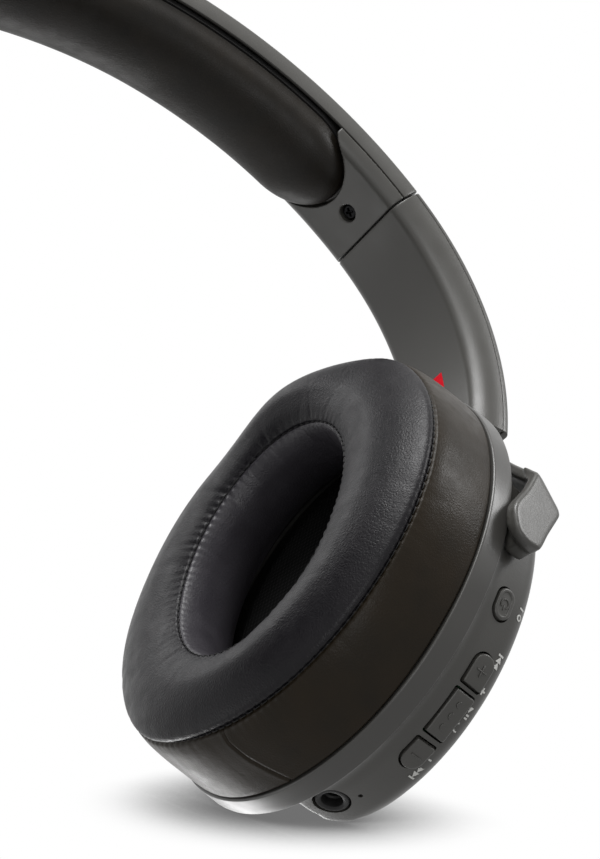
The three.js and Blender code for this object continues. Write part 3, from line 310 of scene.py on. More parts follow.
def prism(name: str, outline: Outline, axis: str, start: float, end: float) -> Piece:
    """A flat outline pushed along x, y or z.

    Args:
        name: Name of the body.
        outline: Points [a, b] in the plane across the axis, in the axes' order.
        axis: x, y or z.
        start: Where it starts along the axis.
        end: Where it ends.

    Returns:
        A closed body.
    """
    order = {"x": (1, 2, 0), "y": (0, 2, 1), "z": (0, 1, 2)}[axis]
    flat = np.asarray(outline, float)
    rings = np.zeros((2, len(flat), 3))
    for ring, at in zip(rings, (start, end)):
        ring[:, order[0]], ring[:, order[1]], ring[:, order[2]] = flat[:, 0], flat[:, 1], at
    return skin(name, rings)


def rod(name: str, radius: float, start: float, end: float, sides: int = 48) -> Piece:
    """A round bar along z.

    Args:
        name: Name of the body.
        radius: Its radius.
        start: Where it starts along the axis.
        end: Where it ends.
        sides: Number of sides.

    Returns:
        A closed body.
    """
    return prism(name, arc(0, 0, radius, 0, 360 - 360 / sides, sides - 1), "z", start, end)


def at_height(flat: Points, z: float) -> Points:
    """Points of a flat outline at one height."""
    return np.column_stack([flat, np.full(len(flat), z)])


def moved(piece: Piece, place: Callable[[Points], Points]) -> Piece:
    """Moves a body's points, given and returned in mm, and keeps its faces outwards.

    Args:
        piece: Object at the origin.
        place: Function from points to points.

    Returns:
        The same object.
    """
    co = np.array([v.co for v in piece.data.vertices], float) / MM
    piece.data.vertices.foreach_set("co", (place(co) * MM).astype(np.float32).ravel())
    face_outwards(piece.data)
    return piece


def outline_distance(outline: Points, a: Points, b: Points) -> Points:
    """Distance of points from a closed outline, negative inside it.

    Args:
        outline: Points [a, b] in order.
        a: First coordinate of the points.
        b: Second coordinate.

    Returns:
        Distances, in the shape of a.
    """
    best = np.full(a.shape, np.inf)
    odd = np.zeros(a.shape, bool)
    for (a0, b0), (a1, b1) in zip(outline, np.roll(outline, -1, axis=0)):
        da, db = a1 - a0, b1 - b0
        share = np.clip(((a - a0) * da + (b - b0) * db) / max(da * da + db * db, 1e-12), 0, 1)
        best = np.minimum(best, (a - a0 - share * da) ** 2 + (b - b0 - share * db) ** 2)
        if db:
            odd ^= ((b0 > b) != (b1 > b)) & (a < a0 + (b - b0) * da / db)
    return np.sqrt(best) * np.where(odd, -1, 1)


def rounded_and(a: Points, b: Points, r: float) -> Points:
    """Distance to what two solids share, with the edge between them rounded.

    Args:
        a: Distances of the first.
        b: Distances of the second.
        r: Radius of the edge.

    Returns:
        Distances.
    """
    return np.minimum(-r, np.maximum(a, b)) + np.hypot(np.maximum(r + a, 0), np.maximum(r + b, 0))


def rounded_or(a: Points, b: Points, r: float) -> Points:
    """Distance to two solids joined with a fillet.

    Args:
        a: Distances of the first.
        b: Distances of the second.
        r: Radius of the fillet.

    Returns:
        Distances.
    """
    return -rounded_and(-a, -b, r)


class Field:
    """A box of evenly spaced points on which a solid is drawn as distances, then skinned."""

    def __init__(self, low: Sequence[float], high: Sequence[float], step: float) -> None:
        """Lays out the points.

        Args:
            low: Lowest corner in mm.
            high: Highest corner.
            step: Distance between points.
        """
        self.low, self.step = np.array(low, float), step
        axes = [np.arange(a, b + step, step) for a, b in zip(low, high)]
        self.points = np.meshgrid(*axes, indexing="ij")

    def skinned(self, name: str, field: Points) -> Piece:
        """Skins the surface where the distances pass zero (surface nets).

        Args:
            name: Name of the piece.
            field: Distances at the points, negative inside.

        Returns:
            A closed piece.
        """
        inside = field < 0
        cells = tuple(n - 1 for n in field.shape)
        total, count = np.zeros((*cells, 3)), np.zeros(cells)
        for axis in range(3):
            others = [i for i in range(3) if i != axis]
            for u in (0, 1):
                for v in (0, 1):
                    offset = [0, 0, 0]
                    offset[others[0]], offset[others[1]] = u, v
                    near = tuple(slice(o, o + n) for o, n in zip(offset, cells))
                    offset_far = [o + (i == axis) for i, o in enumerate(offset)]
                    far = tuple(slice(o, o + n) for o, n in zip(offset_far, cells))
                    crossed = inside[near] != inside[far]
                    a, b = field[near][crossed], field[far][crossed]
                    spot = np.argwhere(crossed) + offset
                    spot = spot.astype(float)
                    spot[:, axis] += a / (a - b)
                    total[crossed] += spot
                    count[crossed] += 1
        used = count > 0
        number = np.full(cells, -1)
        number[used] = np.arange(used.sum())
        verts = total[used] / count[used][:, None] * self.step + self.low
        faces = []
        for axis in range(3):
            p, q = [i for i in range(3) if i != axis]
            near = tuple(slice(0, -1) if i == axis else slice(1, -1) for i in range(3))
            far = tuple(slice(1, None) if i == axis else slice(1, -1) for i in range(3))
            at = np.argwhere(inside[near] != inside[far])
            at[:, p] += 1
            at[:, q] += 1
            corners = []
            for dp, dq in ((1, 1), (0, 1), (0, 0), (1, 0)):
                cell = at.copy()
                cell[:, p] -= dp
                cell[:, q] -= dq
                corners.append(number[tuple(cell.T)])
            quad = np.stack(corners, -1)
            flip = inside[tuple(at.T)] ^ (axis == 1)
            quad[flip] = quad[flip][:, ::-1]
            faces.append(quad)
        return mesh_object(name, verts, np.concatenate(faces).tolist(), crease=180)


# ---------------------------------------------------------------- node trees


def add(tree: Tree, kind: str, inputs: dict[Any, Any] | None = None, **settings: Any) -> Node:
    """Adds a node with its settings, values and links.

    Args:
        tree: Tree that gets the node.
        kind: The node's type name.
        inputs: Value, or output socket to link, for each input by name or number.
        settings: The node's own properties.

    Returns:
        The node.
    """
    node = tree.nodes.new(kind)
    for key, value in settings.items():
        setattr(node, key, value)
    for key, value in (inputs or {}).items():
        socket = node.inputs[key]
        if isinstance(value, Socket):
            tree.links.new(value, socket)
        else:
            socket.default_value = value
    return node


def per_mm(size: float) -> float:
    """Texture scale at which a pattern repeats about every so many mm."""
    return 1 / (size * MM)


def linear(code: str) -> tuple[float, float, float, float]:
    """Turns an sRGB hex colour to linear.

    Args:
        code: Six hex digits.

    Returns:
        Linear RGBA.
    """
    parts = [int(code[i : i + 2], 16) / 255 for i in (0, 2, 4)]
    r, g, b = [c / 12.92 if c <= 0.04045 else ((c + 0.055) / 1.055) ** 2.4 for c in parts]
    return r, g, b, 1.0


class NodeRule:
    """A Geometry Nodes tree with named inputs, run once on an object."""

    title = ""
    sockets: dict[str, str] = {}

    def __init__(self) -> None:
        """Builds the tree with its sockets."""
        self.tree = bpy.data.node_groups.new(self.title, "GeometryNodeTree")
        self.tree.interface.new_socket("Geometry", in_out="INPUT", socket_type="NodeSocketGeometry")
        for name, kind in self.sockets.items():
            self.tree.interface.new_socket(name, in_out="INPUT", socket_type=kind)
        self.tree.interface.new_socket("Geometry", in_out="OUTPUT", socket_type="NodeSocketGeometry")
        start = self.tree.nodes.new("NodeGroupInput")
        finished = self.grow(start.outputs)
        real = add(self.tree, "GeometryNodeRealizeInstances", {"Geometry": finished})
        dressed = add(self.tree, "GeometryNodeSetMaterial", {"Geometry": real.outputs[0],
                                                            "Material": start.outputs["Material"]})
        add(self.tree, "NodeGroupOutput", {"Geometry": dressed.outputs[0]})

    def grow(self, given: Any) -> Socket:
        """Adds the nodes of the rule.

        Args:
            given: The group input's outputs.

        Returns:
            The geometry that the rule makes.
        """
        raise NotImplementedError

    def run(self, piece: Piece, **values: Any) -> Piece:
        """Runs the rule on a piece and leaves a plain mesh.

        Args:
            piece: Object whose mesh the rule reads.
            values: Input values, by name with underscores for spaces.

        Returns:
            The same object.
        """
        step = piece.modifiers.new(self.title, "NODES")
        step.node_group = self.tree
        names = {item.name: item.identifier for item in self.tree.interface.items_tree if item.in_out == "INPUT"}
        for key, value in values.items():
            step[names[key.replace("_", " ")]] = value
        return settle(piece)


class OvalLathe(NodeRule):
    """Turns a profile of (depth, half width, half height) points round an oval."""

    title = "oval_lathe"
    sockets = {"Sides": "NodeSocketInt", "Closed": "NodeSocketBool", "Material": "NodeSocketMaterial"}

    def grow(self, given: Any) -> Socket:
        """Adds the grid, its angle round the oval and the profile point of each row.

        Args:
            given: The group input's outputs.

        Returns:
            The turned, merged mesh.
        """
        tree = self.tree

        def maths(operation: str, a: Any, b: Any = 0.0) -> Socket:
            """Result of one Math node."""
            return add(tree, "ShaderNodeMath", {0: a, 1: b}, operation=operation).outputs[0]

        size = add(tree, "GeometryNodeAttributeDomainSize", {"Geometry": given["Geometry"]}, component="MESH")
        count = size.outputs["Point Count"]
        rows = maths("ADD", count, given["Closed"])
        columns = maths("ADD", given["Sides"], 1)
        grid = add(tree, "GeometryNodeMeshGrid",
                   {"Size X": 1.0, "Size Y": 1.0, "Vertices X": columns, "Vertices Y": rows})
        where = add(tree, "ShaderNodeSeparateXYZ", {0: add(tree, "GeometryNodeInputPosition").outputs[0]})
        angle = maths("MULTIPLY", maths("ADD", where.outputs["X"], 0.5), 2 * math.pi)
        step = maths("MULTIPLY", maths("ADD", where.outputs["Y"], 0.5), maths("SUBTRACT", rows, 1))
        row = maths("MODULO", maths("FLOOR", maths("ADD", step, 0.5)), count)
        sample = add(tree, "GeometryNodeSampleIndex", {
            "Geometry": given["Geometry"], "Value": add(tree, "GeometryNodeInputPosition").outputs[0], "Index": row,
        }, data_type="FLOAT_VECTOR", domain="POINT")
        profile = add(tree, "ShaderNodeSeparateXYZ", {0: sample.outputs[0]})
        place = add(tree, "ShaderNodeCombineXYZ", {
            "X": profile.outputs["X"],
            "Y": maths("MULTIPLY", profile.outputs["Y"], maths("COSINE", angle)),
            "Z": maths("MULTIPLY", profile.outputs["Z"], maths("SINE", angle)),
        })
        turned = add(tree, "GeometryNodeSetPosition",
                     {"Geometry": grid.outputs["Mesh"], "Position": place.outputs[0]})
        merged = add(tree, "GeometryNodeMergeByDistance", {"Geometry": turned.outputs[0], "Distance": 1e-6})
        return merged.outputs[0]

    def turn(self, name: str, profile: Outline, sides: int, closed: bool, finish: "Finish",
             place: Callable[[Points], Points]) -> Piece:
        """Turns a profile and puts it in its place.

        Args:
            name: Name of the piece.
            profile: Points (depth, half width, half height) in mm.
            sides: Steps round the oval.
            closed: True for a ring, false for a body that reaches the axis.
            finish: Its finish.
            place: From the cup's own axes to the row frame.

        Returns:
            The piece.
        """
        mesh = bpy.data.meshes.new(name)
        mesh.from_pydata((np.asarray(profile, float) * MM).tolist(), [], [])
        piece = bpy.data.objects.new(name, mesh)
        bpy.context.scene.collection.objects.link(piece)
        self.run(piece, Sides=sides, Closed=closed, Material=finish.material())
        moved(piece, place)
        piece.data.shade_smooth()
        piece.data.set_sharp_from_angle(angle=math.radians(30))
        return piece


class SeamStitches(NodeRule):
    """Lays arched stitches along every curve of a mesh, standing on its "up" attribute."""

    title = "seam_stitches"
    sockets = {"Pitch": "NodeSocketFloat", "Stitch Length": "NodeSocketFloat", "Thread Radius": "NodeSocketFloat",
               "Rise": "NodeSocketFloat", "Material": "NodeSocketMaterial"}

    def grow(self, given: Any) -> Socket:
        """Adds the seam's points, one stitch and its turn.

        Args:
            given: The group input's outputs.

        Returns:
            The stitches.
        """
        tree = self.tree
        half = add(tree, "ShaderNodeMath", {0: given["Stitch Length"], 1: 0.5}, operation="MULTIPLY").outputs[0]
        back = add(tree, "ShaderNodeMath", {0: half, 1: -1.0}, operation="MULTIPLY").outputs[0]
        top = add(tree, "ShaderNodeCombineXYZ", {"Z": given["Rise"]}).outputs[0]
        bow = add(tree, "GeometryNodeCurveQuadraticBezier", {
            "Resolution": 6, "Start": add(tree, "ShaderNodeCombineXYZ", {"X": back}).outputs[0],
            "Middle": top, "End": add(tree, "ShaderNodeCombineXYZ", {"X": half}).outputs[0],
        })
        round_ = add(tree, "GeometryNodeCurvePrimitiveCircle", {"Resolution": 6, "Radius": given["Thread Radius"]})
        stitch = add(tree, "GeometryNodeCurveToMesh", {"Curve": bow.outputs[0], "Profile Curve": round_.outputs[0],
                                                      "Fill Caps": True})
        seam = add(tree, "GeometryNodeMeshToCurve", {0: given["Geometry"]})
        points = add(tree, "GeometryNodeResampleCurve", {"Curve": seam.outputs[0], "Length": given["Pitch"]},
                     mode="LENGTH")
        along = add(tree, "FunctionNodeAlignRotationToVector", {
            "Vector": add(tree, "GeometryNodeInputTangent").outputs[0]}, axis="X")
        up = add(tree, "GeometryNodeInputNamedAttribute", {"Name": "up"}, data_type="FLOAT_VECTOR")
        stood = add(tree, "FunctionNodeAlignRotationToVector", {
            "Rotation": along.outputs[0], "Vector": up.outputs[0]}, axis="Z", pivot_axis="X")
        return add(tree, "GeometryNodeInstanceOnPoints", {
            "Points": points.outputs[0], "Instance": stitch.outputs[0], "Rotation": stood.outputs[0],
        }).outputs[0]


# ---------------------------------------------------------------- finishes


@dataclass(frozen=True)
class Finish:
    """A real finish, made once as a procedural material."""

    name: str
    colour: str

    def material(self) -> bpy.types.Material:
        """Makes the material, or finds it where it is already made.

        Returns:
            The material.
        """
        found = bpy.data.materials.get(self.name)
        if found:
            return found
        made = bpy.data.materials.new(self.name)
        made.use_nodes = True
        shader = made.node_tree.nodes["Principled BSDF"]
        shader.inputs["Base Color"].default_value = linear(self.colour)
        made.diffuse_color = linear(self.colour)
        self.shade(made.node_tree, shader)
        return made

    def shade(self, tree: Tree, shader: Node) -> None:
        """Adds the finish's own nodes.

        Args:
            tree: The material's tree.
            shader: Its Principled BSDF.
        """
        raise NotImplementedError

    def noise(self, tree: Tree, size: float, detail: float = 2.0, **more: Any) -> Socket:
        """Noise on the object's own axes.

        Args:
            tree: The material's tree.
            size: Its grain in mm.
            detail: Octaves.
            more: Other inputs of the node.

        Returns:
            The noise's value.
        """
        at = add(tree, "ShaderNodeTexCoord").outputs["Object"]
        return add(tree, "ShaderNodeTexNoise",
                   {"Vector": at, "Scale": per_mm(size), "Detail": detail, **more}).outputs[0]

    def spread(self, tree: Tree, value: Socket, low: float, high: float,
               start: float = 0.3, end: float = 0.7) -> Socket:
        """A value spread from one range to another.

        Args:
            tree: The material's tree.
            value: What is spread.
            low: Result at the start.
            high: Result at the end.
            start: Value that gives the low result.
            end: Value that gives the high one.

        Returns:
            The spread value.
        """
        return add(tree, "ShaderNodeMapRange", {
            "Value": value, "From Min": start, "From Max": end, "To Min": low, "To Max": high}).outputs[0]

    def tone(self, tree: Tree, shader: Node, other: str, share: Socket) -> None:
        """Drifts the base colour towards another.

        Args:
            tree: The material's tree.
            shader: Its Principled BSDF.
            other: The other colour.
            share: How much of it shows.
        """
        mix = add(tree, "ShaderNodeMix", {"Factor": share}, data_type="RGBA")
        mix.inputs[6].default_value, mix.inputs[7].default_value = linear(self.colour), linear(other)
        tree.links.new(mix.outputs[2], shader.inputs["Base Color"])

    def bump(self, tree: Tree, shader: Node,
             heights: Sequence[tuple[Socket, float]]) -> None:
        """Stacks heights, each with its relief in mm.

        Args:
            tree: The material's tree.
            shader: Its Principled BSDF.
            heights: Pairs of value and relief.
        """
        normal = None
        for value, relief in heights:
            inputs = {"Height": value, "Distance": relief * MM, "Strength": 1.0}
            if normal is not None:
                inputs["Normal"] = normal
            normal = add(tree, "ShaderNodeBump", inputs).outputs[0]
        tree.links.new(normal, shader.inputs["Normal"])


@dataclass(frozen=True)
class MouldedPlastic(Finish):
    """ABS moulded in a spark-eroded tool: an even matt face with a fine sparkle in its highlights."""

    rubbed: str = "5A5855"
    roughness: float = 0.5
    specular: float = 0.5
    grain: float = 0.36       # coarser than the real 0.1 mm, so that it shows in the render
    relief: float = 0.018

    def shade(self, tree: Tree, shader: Node) -> None:
        """Adds tone, uneven gloss and the tool's grain.

        Args:
            tree: The material's tree.
            shader: Its Principled BSDF.
        """
        shader.inputs["Specular IOR Level"].default_value = self.specular
        self.tone(tree, shader, self.rubbed, self.spread(tree, self.noise(tree, 14, 4.0), 0.0, 0.5))
        gloss = self.spread(tree, self.noise(tree, 5, 3.0), self.roughness - 0.04, self.roughness + 0.04)
        tree.links.new(gloss, shader.inputs["Roughness"])
        self.bump(tree, shader,
                  [(self.noise(tree, self.grain, 3.0), self.relief), (self.noise(tree, 9, 1.0), 0.02)])


@dataclass(frozen=True)
class ProteinLeather(Finish):
    """Polyurethane leather pressed with a fine hide grain: soft sheen, darker in its creases."""

    worn: str = "2A2827"
    roughness: float = 0.42
    specular: float = 0.35
    cell: float = 0.62        # grain width, a little wider than the real 0.4 mm
    relief: float = 0.03
    crumple: float = 0.1

    def shade(self, tree: Tree, shader: Node) -> None:
        """Adds the hide grain, its creases and slow folds.

        Args:
            tree: The material's tree.
            shader: Its Principled BSDF.
        """
        shader.inputs["Specular IOR Level"].default_value = self.specular
        at = add(tree, "ShaderNodeTexCoord").outputs["Object"]
        swirl = add(tree, "ShaderNodeTexNoise", {"Vector": at, "Scale": per_mm(1.6), "Detail": 2.0})
        drift = add(tree, "ShaderNodeVectorMath", {0: swirl.outputs["Color"], 1: (0.0011,) * 3},
                    operation="MULTIPLY")
        warped = add(tree, "ShaderNodeVectorMath", {0: at, 1: drift.outputs[0]}, operation="ADD")
        cells = add(tree, "ShaderNodeTexVoronoi", {"Vector": warped.outputs[0], "Scale": per_mm(self.cell)},
                    feature="DISTANCE_TO_EDGE")
        pebble = self.spread(tree, cells.outputs[0], 0.0, 1.0, 0.0, 0.32)
        self.tone(tree, shader, self.worn, self.spread(tree, self.noise(tree, 7, 3.0), 0.0, 0.75))
        gloss = self.spread(tree, self.noise(tree, 3, 3.0), self.roughness - 0.05, self.roughness + 0.06)
        tree.links.new(gloss, shader.inputs["Roughness"])
        self.bump(tree, shader, [(self.noise(tree, 5.5, 2.0), self.crumple), (pebble, self.relief),
                                 (self.noise(tree, 0.22, 2.0), self.relief * 0.4)])


@dataclass(frozen=True)
class WovenCloth(Finish):
    """Acoustic mesh cloth: black yarn crossing at a fine pitch, with a dull fibre sheen."""

    pitch: float = 0.5

    def shade(self, tree: Tree, shader: Node) -> None:
        """Adds both yarns.

        Args:
            tree: The material's tree.
            shader: Its Principled BSDF.
        """
        shader.inputs["Roughness"].default_value = 0.92
        shader.inputs["Specular IOR Level"].default_value = 0.08
        shader.inputs["Sheen Weight"].default_value = 0.02
        at = add(tree, "ShaderNodeTexCoord").outputs["Object"]
        yarns = [add(tree, "ShaderNodeTexWave",
                     {"Vector": at, "Scale": per_mm(self.pitch) / 6.28, "Distortion": 0.3},
                     wave_type="BANDS", bands_direction=way).outputs[1] for way in ("Y", "Z")]
        height = add(tree, "ShaderNodeMath", {0: yarns[0], 1: yarns[1]}, operation="MULTIPLY").outputs[0]
        self.tone(tree, shader, "0A0A0B", height)
        self.bump(tree, shader, [(height, 0.12)])


@dataclass(frozen=True)
class Metal(Finish):
    """Rolled and stamped steel, plain or blackened: fine rolling lines that stretch its highlights."""

    roughness: float = 0.32
    lines: float = 0.25

    def shade(self, tree: Tree, shader: Node) -> None:
        """Adds rolling lines and uneven gloss.

        Args:
            tree: The material's tree.
            shader: Its Principled BSDF.
        """
        shader.inputs["Metallic"].default_value = 1.0
        at = add(tree, "ShaderNodeTexCoord").outputs["Object"]
        pulled = add(tree, "ShaderNodeMapping", {"Vector": at, "Scale": (1.0, 0.06, 1.0)})
        lines = add(tree, "ShaderNodeTexNoise",
                    {"Vector": pulled.outputs[0], "Scale": per_mm(self.lines), "Detail": 2.0})
        gloss = self.spread(tree, lines.outputs[0], self.roughness - 0.08, self.roughness + 0.1)
        tree.links.new(gloss, shader.inputs["Roughness"])
        self.tone(tree, shader, "6E6C69" if self.roughness < 0.35 else "0C0C0C",
                  self.spread(tree, lines.outputs[0], 0, 0.4))
        self.bump(tree, shader, [(lines.outputs[0], 0.004)])


@dataclass(frozen=True)
class Coated(Finish):
    """A thin coat over something flat, such as solder mask, foil, ink or bonded thread."""

    second: str = "000000"
    roughness: float = 0.5
    size: float = 1.2
    relief: float = 0.01
    metallic: float = 0.0

    def shade(self, tree: Tree, shader: Node) -> None:
        """Adds the coat's uneven tone and surface.

        Args:
            tree: The material's tree.
            shader: Its Principled BSDF.
        """
        shader.inputs["Metallic"].default_value = self.metallic
        shader.inputs["Specular IOR Level"].default_value = 0.2
        coat = self.noise(tree, self.size, 3.0)
        self.tone(tree, shader, self.second, self.spread(tree, coat, 0.0, 0.6))
        tree.links.new(self.spread(tree, coat, self.roughness - 0.05, self.roughness + 0.05),
                       shader.inputs["Roughness"])
        self.bump(tree, shader, [(coat, self.relief)])


SOFT_TOUCH = MouldedPlastic("soft_touch_abs", "363532", rubbed="3C3B38", roughness=0.38, specular=0.42)
SATIN_RING = MouldedPlastic("satin_abs_ring", "333230", rubbed="393835", roughness=0.34, specular=0.42,
                            relief=0.008)
DARK_NYLON = MouldedPlastic("black_nylon", "121212", rubbed="191818", roughness=0.55, specular=0.2)
PAD_FACE = ProteinLeather("protein_leather_face", "0E0D10", worn="141215", roughness=0.38, specular=0.15,
                          relief=0.026, crumple=0.05)
# Painted light: a lighter copy of the pad's leather for the wall inside the mouth, standing in for light that reaches
# in there.
PAD_WALL_PAINTED_LIGHT = ProteinLeather("protein_leather_inside", "2B292D", worn="343236", roughness=0.4, specular=0.3,
                          relief=0.02, crumple=0.05)
PAD_FLANK = ProteinLeather("protein_leather_flank", "18130B", worn="20190F", roughness=0.37, specular=0.12,
                           cell=0.55, relief=0.014, crumple=0.04)
BAND_LEATHER = ProteinLeather("protein_leather_band", "12100D", worn="1A1611", roughness=0.42, specular=0.15,
                              relief=0.018, crumple=0.05)
SPEAKER_CLOTH = WovenCloth("acoustic_mesh_cloth", "020202")
SPRING_STEEL = Metal("rolled_spring_steel", "8E8C89", roughness=0.3)
BLACK_STEEL = Metal("blackened_steel", "1A1A1B", roughness=0.4)
THREAD = Coated("bonded_nylon_thread", "050505", second="100F0F", roughness=0.6, size=0.3, relief=0.02)
SOLDER_MASK = Coated("green_solder_mask", "14371F", second="1D4A2C", roughness=0.35)
CELL_FOIL = Coated("cell_foil", "9C9EA0", second="8A8C8E", roughness=0.38, metallic=0.7)
WHITE_INK = Coated("white_pad_print", "D9D9D6", second="C4C4C0", roughness=0.55, size=0.4)
RED_INK = Coated("red_pad_print", "D4001E", second="C0001A", roughness=0.8, size=0.4)

KEPT_NODES: dict[str, Finish] = {
    "headband_pad_base": DARK_NYLON, "headband_spring": SPRING_STEEL, "slider_tongue": SPRING_STEEL,
    "arm_screw_upper": BLACK_STEEL, "arm_screw_lower": BLACK_STEEL, "swivel_pin": SPRING_STEEL,
    "baffle": DARK_NYLON, "driver": DARK_NYLON, "magnet": SPRING_STEEL, "pad_frame": DARK_NYLON,
    "pivot_pin_rear": SPRING_STEEL, "pivot_pin_front": SPRING_STEEL, "circuit_board": SOLDER_MASK,
    "key_board": SOLDER_MASK, "battery": CELL_FOIL, "power_switch": DARK_NYLON, "volume_up_switch": DARK_NYLON,
    "play_switch": DARK_NYLON, "volume_down_switch": DARK_NYLON,
}


def hand_in(piece: Piece, body: str, slot: str, *nodes: str, finish: Finish | None = None) -> Piece:
    """Dresses a piece, puts it on its body and lets it stand for its CAD nodes.

    Args:
        piece: Finished mesh at the origin.
        body: Body that it rides on.
        slot: Not used.
        nodes: CAD nodes that it replaces.
        finish: Its finish, where it has none yet.

    Returns:
        The same object.
    """
    if finish:
        piece.data.materials.clear()
        piece.data.materials.append(finish.material())
    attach(piece, body)
    if nodes:
        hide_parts(*nodes)
    LOG.info("%s: %d faces on %s", piece.name, len(piece.data.polygons), body)
    return piece


# ---------------------------------------------------------------- the band's curve


@dataclass(frozen=True)
class BandCurve:
    """Curve of the band: a wide arc over the head that runs into a tighter one down each arm."""

    crown_height: float = 122
    crown_radius: float = 95
    arm_angle: float = math.radians(36.5)
    half_span: float = 81.5
    width: float = 26
    thickness: float = 8.6
    side_across: float = 3.9
    side_deep: float = 6.2
    outer_round: float = 1.4
    joint_gap: float = 0.4
    rim: float = 3.2

    @property
    def crown_z(self) -> float:
        """Height of the wide arc's centre."""
        return self.crown_height - self.crown_radius

    @property
    def arm_radius(self) -> float:
        """Radius of an arm's inner face."""
        s = math.sin(self.arm_angle)
        return (self.half_span - self.crown_radius * s) / (1 - s)

    @property
    def arm_z(self) -> float:
        """Height of an arm's lower end."""
        return self.crown_z + (self.crown_radius - self.arm_radius) * math.cos(self.arm_angle)

    @property
    def arm_start(self) -> float:
        """Length along the band from the crown to the arm."""
        return self.crown_radius * self.arm_angle

    @property
    def arm_end(self) -> float:
        """Length along the band to the arm's lower end."""
        return self.arm_start + self.arm_radius * (math.pi / 2 - self.arm_angle)

    def at(self, s: Any, y: Any, d: Any) -> Points:
        """Points on the band.

        Args:
            s: Length from the crown, positive on the right.
            y: Place across the band.
            d: Depth out from its inner face.

        Returns:
            Points in mm in the row frame.
        """
        s, y, d = np.broadcast_arrays(np.asarray(s, float), np.asarray(y, float), np.asarray(d, float))
        run = np.abs(s)
        over = run <= self.arm_start
        angle = np.where(over, run / self.crown_radius, self.arm_angle + (run - self.arm_start) / self.arm_radius)
        radius = np.where(over, self.crown_radius, self.arm_radius) + d
        cx = np.where(over, 0, self.arm_radius - self.half_span)
        cz = np.where(over, self.crown_z, self.arm_z)
        x = cx - radius * np.sin(angle)
        return np.stack([np.where(s < 0, -x, x), y, cz + radius * np.cos(angle)], -1)

    def sweep(self, name: str, outline: Callable[[float], Outline], stations: Iterable[float],
              bevel: float = 0.25) -> Piece:
        """Sweeps an outline along the band, with its two ends bevelled.

        Args:
            name: Name of the piece.
            outline: Outline of [y, depth] points for each station.
            stations: Lengths along the band.
            bevel: Bevel at the ends, in mm.

        Returns:
            A closed piece.
        """
        run = list(stations)
        rings = []
        for i, s in enumerate(run):
            flat = np.asarray(outline(s), float)
            if 0 < i < len(run) - 1:
                rings.append(self.at(s, flat[:, 0], flat[:, 1]))
                continue
            way = 1 if i == 0 else -1
            for turn in (0, 30, 60, 90)[::way]:
                small = inset(flat, bevel * (1 - math.sin(math.radians(turn))))
                along = s + way * bevel * (1 - math.cos(math.radians(turn)))
                rings.append(self.at(along, small[:, 0], small[:, 1]))
        return skin(name, np.array(rings))

    def across(self, name: str, s: float, y: float, radius: float, start: float, end: float) -> Piece:
        """A round bar that stands across the band's thickness.

        Args:
            name: Name of the body.
            s: Length along the band.
            y: Place across it.
            radius: The bar's radius.
            start: Depth where it starts.
            end: Depth where it ends.

        Returns:
            A closed body.
        """
        return moved(rod(name, radius, start, end, sides=40), lambda p: self.stand(s, y, p))

    def stand(self, s: float, y: float, local: Points) -> Points:
        """Puts points drawn on a flat face, with z as depth, on the band at s.

        Args:
            s: Length along the band.
            y: Place across it.
            local: Points (along, across, depth).

        Returns:
            Points in the row frame.
        """
        base = self.at(s, y, 0)
        out = self.at(s, y, 1) - base
        along = np.cross([0, 1, 0], out)
        return base + local[:, :1] * along + local[:, 1:2] * np.array([0, 1.0, 0]) + local[:, 2:] * out


BAND = BandCurve()
STEP_GROWTH = 1.25


def graded(length: float, fine: float, coarse: float) -> Points:
    """Places along a length that crowd at both ends.

    Args:
        length: The whole length.
        fine: First step.
        coarse: Longest step.

    Returns:
        Places from 0 to 1.
    """
    steps, step, total = [], fine, 0.0
    while total + step < length / 2:
        steps.append(step)
        total += step
        step = min(step * STEP_GROWTH, coarse)
    half = np.concatenate([[0], np.cumsum(steps)])
    return np.concatenate([half, length - half[::-1]]) / length


# ---------------------------------------------------------------- headband


